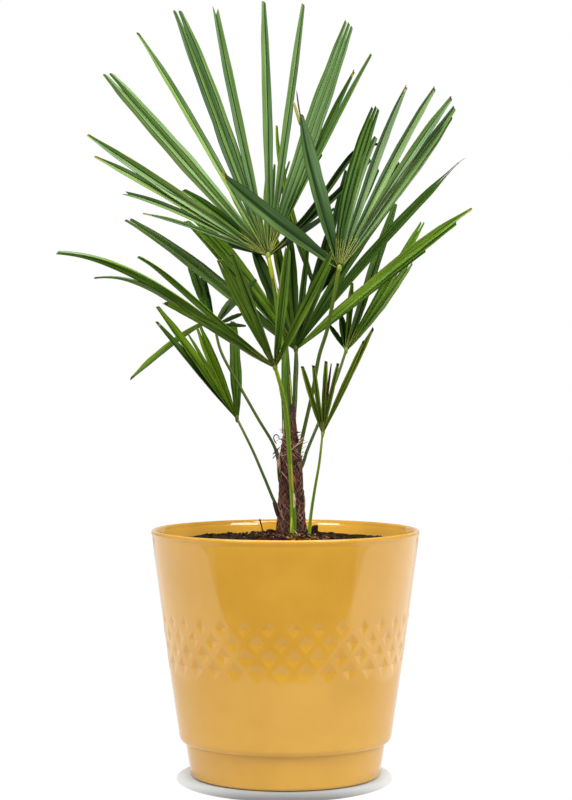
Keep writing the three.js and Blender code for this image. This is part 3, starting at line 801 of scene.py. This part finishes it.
# Each mark on the stalks: its material, its radius and its points as they show from the front
STALK_MARKS = {
    "stalk_yellow_stretch": (TINTS["amber"], 1.3, [(6.4, -22.6, 360), (7.4, -22.2, 344), (8.2, -21.6, 327)]),
    "stalk_scar": (FIBRES["straw"], 1.7, [(9.6, -21.2, 326), (10.2, -21.0, 316), (10.0, -21.2, 306)]),
    "stalk_foot_flank": (STALKS["olive"], 2.0, [(10.2, -21.0, 312), (11.0, -22.0, 296), (11.2, -24.0, 279)]),
    "sheath_left_low": (
        FIBRES["dark"], 2.3, [(-8.6, -4, 298), (-10.6, -2, 306), (-12.4, -1, 312), (-14.0, 0, 317)]),
    "sheath_left_rear": (FIBRES["pale"], 1.2, [(-6.2, -8, 348), (-6.8, -7.6, 360), (-7.6, -6, 371)]),
    "stalk_left_rear_foot": (
        STALKS["green"], 1.5, [(-9.4, 0, 378), (-8.8, -2, 364), (-8.2, -2.5, 350), (-7.4, -3, 337)]),
    "stalk_foot_split": (TINTS["neck"], 1.2, [(7.2, -22.0, 298), (6.6, -24.2, 288), (5.8, -25.2, 279)]),
    "stalk_foot_edge": (TINTS["neck"], 0.9, [(10.2, -21.8, 296), (10.8, -23.6, 287), (11.4, -24.6, 279)]),
    "stalk_brown_edge": (FIBRES["brown"], 0.8, [(-7.4, -56, 450), (-5.2, -52, 439), (-2.6, -46, 427)]),
    "sheath_pale_edge": (TINTS["rib"], 0.8, [(7.6, -3.5, 424), (6.2, -3.5, 444), (4.8, -3, 464)]),
    "sheath_left_high": (FIBRES["pale"], 1.1, [(-1.8, -6, 386), (-2.4, -6, 400), (-2.4, -5, 414)]),
    "stalk_neck": (TINTS["neck"], 2.5, [(-19.4, 8.4, 599), (-17.6, 7.8, 588), (-14.6, 7.0, 572)]),
    "stalk_stripe": (FIBRES["straw"], 0.9, [(-14.0, 5.6, 582), (-10.8, 4.2, 566), (-7.6, 2.2, 546)]),
}
BROWN_STRIP = [(10.6, -2.5, 384), (9.6, -3, 398), (8.4, -2.5, 413), (8.0, -2, 430)]
BROWN_RADII = [(4.4, 0), (3.8, 0.4), (3.2, 0.85), (2.2, 1)]
SHEATH_FIBRES, FIBRE_RINGS = 60, 9


def make_sheath():
    for name, (material, points, radii, flatness) in SHEATH_STRIPS.items():
        bm = bmesh.new()
        path = smooth_path(points, 40)
        rings = np.interp(np.linspace(0, 1, len(path)), np.linspace(0, 1, len(radii)), radii)
        add_tube(bm, path, rings, 16, flatness)
        replaced = ["crown_sheath"] if name == "sheath_inner" else ()
        finish_piece(name, bm, material, replaced, crease=60)
    bm = bmesh.new()
    path = smooth_path(BROWN_STRIP, 30)
    add_tube(bm, path, [value_at(BROWN_RADII, share) for share in np.linspace(0, 1, len(path))], 12, 0.9)
    finish_piece("sheath_brown", bm, FIBRES["dark"])
    rng = random.Random("sheath fibres")
    strands = []
    for _ in range(SHEATH_FIBRES):
        first, around, drift = rng.randrange(0, 20), rng.uniform(0, TURN), rng.uniform(-1.5, 1.5)
        strand = []
        for i in range(FIBRE_RINGS):
            lift = between(4.1, 3.1, (first + i) / len(path))
            strand.append(path[first + i] + np.array(outward(around + drift * i / 10)) * lift)
        strands.append(strand)
    add_strands("sheath_fibres", strands, [0.28] * SHEATH_FIBRES, FIBRES["brown"])
    for name, (material, radius, points) in STALK_MARKS.items():
        add_strands(name, [smooth_path([place(p) for p in points], 14)], [radius], material, 6)


# Fronds

# Each frond: its hub, the lean and turn of its fan, its stalk's radii at foot and top, tint and points, and
# its leaflets. A leaflet has the across and up of its tip, its width and its tint. Where they aren't the
# usual ones, the kind of its tip, its arch (with the power that moves its peak) and its folds follow.
FRONDS = {
    "top": dict(
        hub=(-20, 10, 600), lean=0.15, turn=-0.05, radii=(3.0, 2.5), stalk_tint="olive",
        stalk=[(-2, 0, 488), (-5, 1, 503), (-8, 4, 524), (-13, 8, 566)],
        leaflets=[
            (-229, 740, 12, "pale", "yellow"), (-221, 715, 10, "pale", "yellow", 3),
            (-208.3, 813, 20, "pale", "fingers", 0.8, 2), (-171.3, 858, 9, "pale", "dark", 3.3),
            (-126, 885.5, 20.5, "sage", "fingers", 2.0, 2), (-81.7, 889.5, 11, "sage", "fork", -1.6),
            (-25, 895, 11, "sage", "blunt", (2.5, 0.45)), (21, 892, 9.5, "sage", "blunt", (-1.0, 0.35)),
            (74.6, 871, 21.3, "sage", "fingers", 0, 3), (81, 816, 7, "deep", "scorched", 2.2),
            (100, 834, 6.5, "green", "blunt", 2.0), (116, 727, 7.5, "shade", "blunt", (19, 2.4)),
            (99, 712, 8, "shade", "blunt", -2.5), (-189, 673, 7.5, "sage", "fork", 6.3),
            (-165, 649, 5, "sage", "yellow", 3.5), (-119, 676.5, 10, "deep", "blunt", 3),
            (43, 718, 5, "shade", "brown", 3)]),
    "right_top": dict(
        hub=(62, -40, 586), lean=0.2, turn=0.45, radii=(2.1, 2.3), stalk_tint="green",
        stalk=[
            (14, -3, 366), (22.5, -12, 404), (31.5, -18, 444), (39, -24, 485), (48, -31, 514),
            (56, -37, 554)],
        spikes=[
            ("purple", [(19, 752), (15, 772), (12.6, 791)], 1.1),
            ("yellow", [(17.5, 748), (13, 764), (8.6, 779)], 2.0)],
        leaflets=[
            (18, 764, 21, "dusk", "dark", -3), (-69, 690, 20, "dusk", "slashed", -2),
            (105, 773.5, 17.5, "deep", "fingers", (9.5, 0.5), 3),
            (105, 738, 11, "slate", "blunt", (8.5, 0.8)), (141, 798, 11, "slate", "scorched", 5),
            (173.5, 795.5, 11, "sage", "brown", 4), (193, 784, 11, "sage", "brown", 3),
            (196, 772.5, 12, "slate", "blunt", -0.5), (192.5, 761, 12.2, "green", "dark", -0.3)]),
    "rear_low": dict(
        hub=(12, 35, 492), lean=0.5, turn=0.15, radii=(2.2, 2.1), stalk_tint="deep", pale=False,
        stalk=[(9.6, 3, 414), (11.2, 12, 430), (12, 22, 450), (13, 31, 474)],
        leaflets=[
            (-184.5, 644, 18, "green", "fingers", 8, 2), (-123, 656, 13, "grass", "blunt", 11.5),
            (-38.5, 612, 17, "deep"), (-15, 633, 12, "olive"), (5, 626, 12, "deep"), (26, 613, 7, "deep"),
            (54, 641, 11, "shade"), (76, 659, 8, "deep"), (200, 708, 13, "deep", "thread", (8, 0.6), 2),
            (216, 655, 11, "bright", "yellow", 5.6), (199, 639, 10, "grass", "blunt", 3),
            (163, 607, 9, "grass", "blunt", 2), (-67, 611, 10, "olive", "blunt", -3),
            (-116.5, 641.5, 14.5, "grass", "blunt", 4), (125, 661, 12.5, "deep", "blunt", 6.5),
            (128, 590, 9, "grass", "blunt", 3)]),
    "front": dict(
        hub=(-12, -75, 472), lean=-1.2, turn=-0.35, radii=(2.9, 2.2), stalk_tint="bright",
        stalk=[(8, -22.5, 272), (8, -18.9, 310), (5, -21, 363), (1.6, -36, 410), (-3.6, -54, 442)],
        leaflets=[
            # The paler tint of the first and third leaflets here paints light on leaflets that lie in shade
            (-266, 604, 13.5, "silver", "blunt", (31, 1.25)),
            (-237, 601, 12, "spring", "blunt", (20.5, 1.25)), (-222, 574, 9, "silver", "dark", (29, 1.6)),
            (-140, 546, 13, "spring", "fingers", 3, 2), (-171.5, 600, 9, "spring", "blunt", (5.5, 2.2)),
            (-76, 597, 16, "spring", "fingers", 0, 3), (-62, 603, 10, "grass", "brown"),
            (3, 610, 12, "spring", "fingers", 0, 2), (54, 605, 10, "spring"), (52, 588, 5, "spring")]),
    "left_low": dict(
        hub=(-56, 20, 412), lean=0.3, turn=0.9, radii=(1.8, 1.5), stalk_tint="green", pale=False,
        stalk=[(-2, 0, 301), (-10.6, 1, 312), (-24.1, 5, 343), (-37.8, 11, 375)],
        leaflets=[
            (-149.5, 543, 13, "olive", "brown"), (-151, 526, 10, "deep", "scorched"),
            (-115, 514, 6, "olive", "brown"), (-100.5, 520.5, 16, "olive", "fingers", 0, 2),
            (-60, 525.5, 19, "olive", "fingers", 0, 3)]),
    "right_rear": dict(
        hub=(70, 65, 491), lean=0.9, turn=0.0, radii=(1.9, 1.6), stalk_tint="deep",
        stalk=[(8, 5, 342), (19, 14, 357), (25, 21, 375), (37, 33, 404), (59, 54, 458)],
        leaflets=[
            (159, 640.5, 12, "grass", "fingers", 0, 2), (145, 593, 14, "bright", "fingers", 0, 2),
            (127.5, 662, 12, "green"), (77, 570, 7, "olive"), (51, 520, 6, "deep"), (64, 532, 9, "deep"),
            (98, 571, 9, "olive")]),
    "right_small": dict(
        hub=(43, -60, 395), lean=-0.6, turn=-0.3, radii=(1.9, 1.3), stalk_tint="moss",
        stalk=[(27, -10, 270), (29.4, -14, 300), (34.2, -26, 332), (39.0, -40, 360)],
        leaflets=[
            (19, 474, 5.8, "moss", "cut"), (32, 475, 5.4, "moss", "cut"), (47, 480, 5.2, "moss", "cut"),
            (53, 476, 2.4, "brown", "dark"), (61, 477.5, 4.8, "moss", "cut"),
            (102.5, 518.5, 7, "moss", "scorched", 1), (91, 503, 4.4, "moss", "brown")]),
    "left_rear": dict(
        hub=(-82, 15, 520), lean=1.6, turn=-1.6, radii=(1.8, 1.6), stalk_tint="green", pale=False,
        stalk=[
            (-2, 3, 338), (-6.8, 5, 355), (-12.6, 8, 379), (-32.2, 11, 413), (-52, 13, 448),
            (-74.6, 14.3, 490)],
        leaflets=[
            (-180, 457, 11, "olive", "dark", (22.3, 0.43)), (-141, 546, 8, "deep"), (-115, 541, 8, "deep"),
            (-112, 598, 12, "deep"), (-96.5, 584, 10, "deep"), (-33, 573, 12, "deep"),
            (-49, 533, 7, "deep"), (-46, 519, 6, "deep"), (-59, 553, 10, "deep")]),
    "rear_top": dict(
        hub=(37, 110, 554), lean=0.5, turn=0.0, radii=(2.0, 1.7), stalk_tint="deep", pale=False,
        stalk=[(8, 3, 407), (10, 20, 428), (11, 42, 466), (17.5, 82, 526)],
        leaflets=[
            (-10, 752, 6, "olive", "blunt", -8), (-2.5, 714, 9, "green", "blunt", -9),
            (70, 700, 7, "shade"), (108, 701, 6, "shade"), (132, 709, 6, "shade"), (120, 660, 7, "shade")]),
    "rear_high": dict(
        hub=(-20, 70, 600), lean=1.8, turn=-0.9, radii=(2.1, 1.9), stalk_tint="green", pale=False,
        stalk=[(-1, 3, 458), (-5, 17, 512), (-10, 40, 556)],
        leaflets=[
            (-92, 645, 8, "green"), (-73, 659, 9, "green"), (-63, 673, 8, "green"),
            (-51, 683, 10, "green", "fingers", 0, 2), (-41, 686, 8, "green"), (-22, 689, 8, "green"),
            (-97, 633, 12, "deep", "blunt", -7), (57, 655, 11, "shade", "blunt", -5),
            (-12.5, 706.5, 5, "deep"), (5, 710, 5, "deep", "blunt", -2.5)]),
}

# Each tip: the depth of its notch and its slant as shares of the leaflet's length, the share of the width
# lost towards its end, and the yellow and brown lengths there in millimetres
TIPS = {
    "blunt": (0.004, 0.012, 0.25, 0, 0.9), "fork": (0.035, 0.012, 0.05, 0, 0),
    "dark": (0.0, 0.008, 0.5, 0, 3.5), "brown": (0.006, 0.014, 0.3, 0, 4),
    "scorched": (0.012, 0.016, 0.4, 5, 5), "yellow": (0.0, 0.006, 0.55, 9, 2.2),
    "fingers": (0.006, 0.010, 0.0, 0, 1.8), "thread": (0.0, 0.004, 0.7, 6, 1.5),
    "slashed": (0.0, -0.06, 0.3, 4, 1.5), "cut": (0.02, 0.012, 0.08, 0, 2.6),
}
FOLD_DEPTH, NARROWEST, WIDEST_AT, OUTWARD_BEND = 0.2, 0.18, 0.58, 1.25
WIDE_FOLD, WIDE_FOLD_DEPTH = 15, 0.55
JOIN_PINCH, EDGE_WAVE = 1.8, 0.05
LEAFLET_ROWS, LEAFLET_THICKNESS = 30, 0.5
HALF_FOLD = (0.0, 0.3, 0.62, 0.87, 1.0)
FLANKS = [-1 + s for s in HALF_FOLD] + [1 - s for s in reversed(HALF_FOLD[:-1])]
MIDRIB_LIFT, RIDGE_LIFT, RIDGE_RADIUS, EDGE_RADIUS, BROWNED_KINK = 0.25, -0.5, 0.24, 0.24, 0.07
STALK_FLARE, FLARE_FADE, STALK_FLATNESS = 0.7, 14, 0.85
KNOT_WIDER, KNOT_DEEPER, KNOT_HALF_HEIGHT, THREAD_RADIUS = 0.7, 0.3, 4.6, 0.35


def width_share(along, taper):
    """Share of a leaflet's full width: narrow at the hub, widest past the middle, and tapered at its end."""
    full = NARROWEST + (1 - NARROWEST) * math.sin(math.pi / 2 * min(along, 1.0) / WIDEST_AT) ** 0.9
    return full * (1 - taper * eased((along - 0.8) / 0.2))


def arch_share(along):
    return 2.12 * along * (1 - along ** 3)


def place_in_fan(frond, across, up):
    """The point of a frond's fan that shows at a place seen from the front."""
    hub_across, hub_back, hub_up = frond["hub"]
    back = hub_back + frond["lean"] * (up - hub_up) + frond["turn"] * (across - hub_across)
    return place((across, back, up))


class Leaflet:
    """One leaflet's line, directions and width, from its hub to its tip."""

    def __init__(self, frond, rng, across, up, width, tint, tip="blunt", arch=0, folds=1):
        self.width, self.tint, self.tip, self.folds = width, tint, tip, folds
        self.arch, self.arch_bend = arch if isinstance(arch, tuple) else (arch, 1.0)
        self.start, self.end = place(frond["hub"]), place_in_fan(frond, across, up)
        normal = np.array((-frond["turn"], 1.0, -frond["lean"]))
        normal /= np.linalg.norm(normal)
        self.length = float(np.linalg.norm(self.end - self.start))
        self.direction = (self.end - self.start) / self.length
        self.across = np.cross(normal, self.direction)
        self.across /= np.linalg.norm(self.across)
        self.face = np.cross(self.direction, self.across)
        self.upward = self.across * (1 if self.across[2] >= 0 else -1)
        self.twist = rng.uniform(-0.3, 0.3)
        self.sway, self.sway_phase = rng.uniform(0.2, 0.9), rng.uniform(0, TURN)
        self.kink_at, self.kink = rng.uniform(0.42, 0.66), rng.uniform(0.03, 0.11)
        self.kink_side = rng.choice((-1, 1))
        self.deepen = rng.uniform(0.85, 1.25)
        self.split = rng.uniform(0.86, 0.93)
        self.cuts = [rng.uniform(0.0, 0.018) for _ in range(folds)]
        self.cuts[rng.randrange(folds)] = 0.0

    def centre(self, along):
        point = self.start + (self.end - self.start) * np.array((along, along ** OUTWARD_BEND, along))
        sway = self.sway * math.sin(3.2 * along + self.sway_phase) * math.sin(math.pi * min(along, 1.0))
        return point + self.upward * self.arch * arch_share(along ** self.arch_bend) + self.face * sway

    def fold_width(self, along):
        """The width of each fold, which waves a little along the leaflet."""
        wave = math.sin(23 * along + self.sway_phase) * math.sin(9 * along + 2 * self.sway_phase)
        return self.width / self.folds * width_share(along, TIPS[self.tip][2]) * (1 + EDGE_WAVE * wave)

    def side(self, fold, flank, along, fold_width):
        """How far a flank lies from the middle line: one edge has a kink, and folds part near the tip."""
        middle = (fold + 0.5 - self.folds / 2) * fold_width
        side = middle + flank / 2 * fold_width
        if side * self.kink_side > 0:
            side *= 1 - self.kink * eased((along - self.kink_at) / 0.05)
        if self.folds > 1 and along > self.split:
            opened = (along - self.split) / (1 - self.split)
            side = middle * (1 + 0.1 * opened) + (side - middle) * (1 - 0.3 * opened ** 0.5)
        return side

    def lift(self, fold, flank, along, fold_width):
        """How far a flank lies off the plane: folds are deeper at the hub, and wide ones are flatter."""
        depth = FOLD_DEPTH * self.deepen * (1 + 0.5 * (1 - eased(along / 0.25)))
        depth *= WIDE_FOLD_DEPTH if self.width / self.folds > WIDE_FOLD else 1
        valley = 1 - abs(flank)
        lift = (2 * valley - 1 - 0.1 * math.sin(math.pi * valley)) * depth * fold_width
        if self.folds == 2:
            joined = flank == (1 if fold == 0 else -1)
            lift *= -JOIN_PINCH if joined else -1
        return lift

    def point(self, fold, flank, along, raised=0.0):
        """A point of one fold, whose flank runs from -1 at its left edge over 0 in its valley to 1."""
        fold_width = self.fold_width(along)
        side = self.side(fold, flank, along, fold_width)
        lift = self.lift(fold, flank, along, fold_width) + raised
        angle = self.twist * eased((along - 0.2) / 0.8)
        across = self.across * math.cos(angle) + self.face * math.sin(angle)
        face = self.face * math.cos(angle) - self.across * math.sin(angle)
        return self.centre(along) + across * side + face * lift

    def reach(self, fold, flank):
        """How far along the leaflet a flank of a fold reaches at its tip."""
        notch, slant = TIPS[self.tip][:2]
        rounding = 0.010 * abs(flank) ** 3
        return 1 - self.cuts[fold] - notch * (1 - abs(flank)) - slant * (0.5 + 0.5 * flank) - rounding

    def line(self, fold, flank, first, last, count, raised=0.0):
        return [self.point(fold, flank, along, raised) for along in np.linspace(first, last, count)]


def add_leaflet(sheets, leaflet):
    """Lays a leaflet's surface, and its yellow and brown ends, into the sheet of each tint."""
    yellow, brown = TIPS[leaflet.tip][3:]
    shares = [1 - (1 - i / LEAFLET_ROWS) ** 1.35 for i in range(LEAFLET_ROWS + 1)]
    lengths = [leaflet.length * s for s in shares]

    def first_row(left):
        return next((i for i, length in enumerate(lengths) if leaflet.length - length <= left), LEAFLET_ROWS)

    yellow_start, brown_start = first_row(brown + yellow), first_row(brown)
    steps = [(leaflet.tint, 0, yellow_start if yellow else brown_start)]
    if yellow:
        steps.append(("yellow", yellow_start, brown_start))
    if brown:
        steps.append(("brown", brown_start, LEAFLET_ROWS))
    for fold in range(leaflet.folds):
        rows = [[leaflet.point(fold, f, s * leaflet.reach(fold, f)) for f in FLANKS] for s in shares]
        for tint, first, last in steps:
            if last > first:
                add_patch(sheets[tint], rows[first:last + 1], lengths[first:last + 1], leaflet.kink_side)


def add_patch(bm, rows, lengths, side):
    """A grid of points as part of a sheet, with its UV map in folds across and tenths of a metre along."""
    columns = len(rows[0]) - 1
    cells = grid_cells(bm, columns, len(rows) - 1)
    for vert, (column, row) in cells.items():
        vert.co = rows[row][column]
    lay_uv(bm, cells, lambda column, row: (side * (column / columns - 0.5), lengths[row] / 100))


def add_leaflet_lines(lines, leaflet, pale):
    """The midrib behind each fold, the pale ridges near the hub and a browned edge, as paths with radii."""
    for fold in range(leaflet.folds):
        if leaflet.folds != 2:
            midrib = leaflet.line(fold, 0, 0.01, 0.96 * leaflet.reach(fold, 0), 22, MIDRIB_LIFT)
            lines["midrib"].append((midrib, 0.16 + 0.012 * leaflet.width / leaflet.folds))
        for flank in (-0.97, 0.97) if pale else ():
            lines["ridge"].append((leaflet.line(fold, flank, 0.005, 0.17, 8, RIDGE_LIFT), RIDGE_RADIUS))
    if leaflet.kink > BROWNED_KINK:
        side = leaflet.kink_side
        fold = 0 if side < 0 else leaflet.folds - 1
        edge = leaflet.line(fold, side, 0.12, 0.93 * leaflet.reach(fold, side), 22)
        lines["edge"].append((edge, EDGE_RADIUS))


def add_thread(spikes, leaflet):
    """The dry thread at a leaflet's tip, as a path with its radius."""
    tip, across, along = leaflet.centre(0.985), leaflet.across, leaflet.direction
    thread = [tip, tip + along * 7 + across, tip + along * 15 + across * 3]
    spikes["purple"].append((thread, THREAD_RADIUS))


def add_spikes(spikes, frond):
    """The dry spikes that a frond may have in its fan, as paths with their radii."""
    for tint, points, radius in frond.get("spikes", ()):
        spikes[tint].append(([place_in_fan(frond, *point) for point in points], radius))


def make_stalk(name, frond):
    path = smooth_path([place(p) for p in frond["stalk"] + [frond["hub"]]], 60)
    foot, top = frond["radii"]
    share = np.linspace(0, 1, len(path))
    bm = bmesh.new()
    radii = between(foot, top, share) + STALK_FLARE * np.exp(-share * FLARE_FADE)
    add_tube(bm, path, radii, 14, STALK_FLATNESS)
    material = STALKS[frond["stalk_tint"]]
    finish_piece(f"stalk_{name}_round", bm, material, [f"stalk_{name}"], crease=60)


def make_fronds():
    tints = {**LEAVES, "yellow": TINTS["yellow"], "brown": TINTS["brown"]}
    sheets = {tint: bmesh.new() for tint in tints}
    hubs = {"knot": bmesh.new(), "dark_knot": bmesh.new()}
    lines = {"midrib": [], "ridge": [], "edge": []}
    spikes = {"purple": [], "yellow": []}
    for name, frond in FRONDS.items():
        rng = random.Random(f"leaflets {name}")
        # Fronds that aren't pale get no pale ridges and a darker knot, as painted shade at their hubs
        pale = frond.get("pale", True)
        for entry in frond["leaflets"]:
            leaflet = Leaflet(frond, rng, *entry)
            add_leaflet(sheets, leaflet)
            add_leaflet_lines(lines, leaflet, pale)
            if leaflet.tip == "thread":
                add_thread(spikes, leaflet)
        add_spikes(spikes, frond)
        radius = frond["radii"][1]
        size = (radius + KNOT_WIDER, radius + KNOT_DEEPER, KNOT_HALF_HEIGHT, 1)
        knot = Matrix.Translation(place(frond["hub"])) @ Matrix.Diagonal(size)
        hub = hubs["knot" if pale else "dark_knot"]
        bmesh.ops.create_icosphere(hub, subdivisions=3, radius=1, matrix=knot)
        make_stalk(name, frond)
    for tint, bm in sheets.items():
        bmesh.ops.remove_doubles(bm, verts=bm.verts, dist=0.01)
        bm.normal_update()
        bmesh.ops.solidify(bm, geom=bm.faces[:], thickness=LEAFLET_THICKNESS)
        replaced = [f"frond_{name}" for name in FRONDS] if tint == "sage" else ()
        finish_piece(f"leaflets_{tint}", bm, tints[tint], replaced, crease=60)
    for name, paths in lines.items():
        material = TINTS["edge" if name == "edge" else "rib"]
        add_strands(f"leaflet_{name}s", [p for p, _ in paths], [r for _, r in paths], material)
    for tint, paths in spikes.items():
        curves = [smooth_path(p, 8) for p, _ in paths]
        add_strands(f"leaflet_spikes_{tint}", curves, [r for _, r in paths], TINTS[tint])
    for name, bm in hubs.items():
        finish_piece(f"frond_{name}s", bm, TINTS[name])


# Studio

CAMERA_PLACE, CAMERA_TILT, CAMERA_LENS = (0.0006, -2.7, 0.5), math.radians(90 - 1.408), 105.17
AIR_LIGHT, AIR_SEEN = (0.22, 0.22, 0.225), (1.0, 1.0, 1.0)
FLOOR_WIDTH, FLOOR_DEPTH, FLOOR_MIDDLE, FLOOR_DROP = 4.4, 2.61, 0.895, 0.0004
# The pot's soft ground shadow is a pale disc, flattened and moved, that darkens towards the front. The one
# that the pot mirrors darkens less than the one that the camera sees.
DISC_STRETCH, DISC_SHIFT, DISC_EDGE = (1, 0.83, 1), (0.001, 0.0133, 0), (0.1235, 0.1255)
DISC_FORWARD = (-0.01, -0.145)
DISC_MIRRORED = ((0.76, 0.84, 0.92), (0.50, 0.54, 0.57))
DISC_SEEN = ((0.86, 0.95, 1.0), (0.15, 0.166, 0.188))
# Each lamp: its place, its target, its width and height, its power in watts, and whether the glaze mirrors it
LAMPS = {
    "left_low_panel": ((-0.47, 0.16, 0.11), (0, 0.16, 0.11), (0.96, 0.42), 0.36, True),
    "right_low_panel": ((0.47, 0.16, 0.11), (0, 0.16, 0.11), (0.96, 0.42), 0.6, True),
    "left_panel": ((-1.15, 0.12, 0.95), (0, 0.12, 0.75), (1.15, 0.9), 1.4, False),
    "right_panel": ((1.15, 0.12, 0.95), (0, 0.12, 0.75), (1.15, 0.9), 2.2, False),
    "front_left": ((-1.5, -1.5, 1.55), (0, 0, 0.35), (0.85, 0.6), 16.5, True),
    "front_right": ((1.35, -1.5, 1.55), (0, 0, 0.35), (1.1, 0.6), 21.5, True),
    "backdrop": ((0, 2.4, 0.6), (0, 0, 0.4), (3.2, 1.6), 8, True),
    "overhead": ((0, -0.85, 2.05), (0, 0.1, 0.3), (1.6, 1.2), 51, True),
}


def seen_by_camera(tree):
    return linked(tree, "ShaderNodeLightPath").outputs["Is Camera Ray"]


def make_camera():
    scene = bpy.context.scene
    scene.view_settings.view_transform = "Standard"
    camera_data = bpy.data.cameras.new("camera")
    camera_data.sensor_fit = "VERTICAL"
    camera_data.sensor_height = 36.0
    camera_data.lens = CAMERA_LENS
    camera = bpy.data.objects.new("camera", camera_data)
    camera.location = CAMERA_PLACE
    camera.rotation_euler = (CAMERA_TILT, 0, 0)
    scene.collection.objects.link(camera)
    scene.camera = camera


def make_air():
    world = bpy.data.worlds.new("studio air")
    world.use_nodes = True
    bpy.context.scene.world = world
    tree = world.node_tree
    colour = mixed(tree, seen_by_camera(tree), AIR_LIGHT, AIR_SEEN)
    tree.links.new(colour, tree.nodes["Background"].inputs["Color"])


def make_floor():
    bm = bmesh.new()
    bmesh.ops.create_grid(bm, x_segments=2, y_segments=2, size=1)
    for vert in bm.verts:
        vert.co = (vert.co.x * FLOOR_WIDTH / 2, FLOOR_MIDDLE + vert.co.y * FLOOR_DEPTH / 2, -FLOOR_DROP)
    mesh = bpy.data.meshes.new("studio_floor")
    bm.to_mesh(mesh)
    bm.free()
    material, tree, shader = new_material("pale floor", 0.6, specular=0.2)
    where = object_place(tree)
    off_centre = vector_math(tree, "MULTIPLY_ADD", where, DISC_STRETCH, DISC_SHIFT)
    outside = remapped(tree, vector_math(tree, "LENGTH", off_centre), *DISC_EDGE)
    ahead = linked(tree, "ShaderNodeSeparateXYZ", {0: where}).outputs["Y"]
    forward = remapped(tree, ahead, *DISC_FORWARD)
    mirrored, seen = mixed(tree, forward, *DISC_MIRRORED), mixed(tree, forward, *DISC_SEEN)
    shade = mixed(tree, seen_by_camera(tree), mirrored, seen)
    tree.links.new(mixed(tree, outside, shade, (0, 0, 0)), shader["Base Color"])
    tree.links.new(mixed(tree, outside, (0, 0, 0), (1, 1, 1)), shader["Emission Color"])
    shader["Emission Strength"].default_value = 1.0
    mesh.materials.append(material)
    floor = bpy.data.objects.new("studio_floor", mesh)
    bpy.context.scene.collection.objects.link(floor)


def make_lamps():
    for name, (spot, target, size, power, mirrored) in LAMPS.items():
        lamp = bpy.data.lights.new(name, "AREA")
        lamp.shape = "RECTANGLE"
        lamp.size, lamp.size_y = size
        lamp.energy = power
        light = bpy.data.objects.new(name, lamp)
        light.location = spot
        light.rotation_euler = (Vector(target) - Vector(spot)).to_track_quat("-Z", "Y").to_euler()
        light.visible_camera = False
        light.visible_glossy = mirrored
        bpy.context.scene.collection.objects.link(light)


make_camera()
make_air()
make_floor()
make_lamps()
make_pot()
make_soil()
make_crumbs()
make_trunk()
make_trunk_fibres()
make_sheath()
make_fronds()
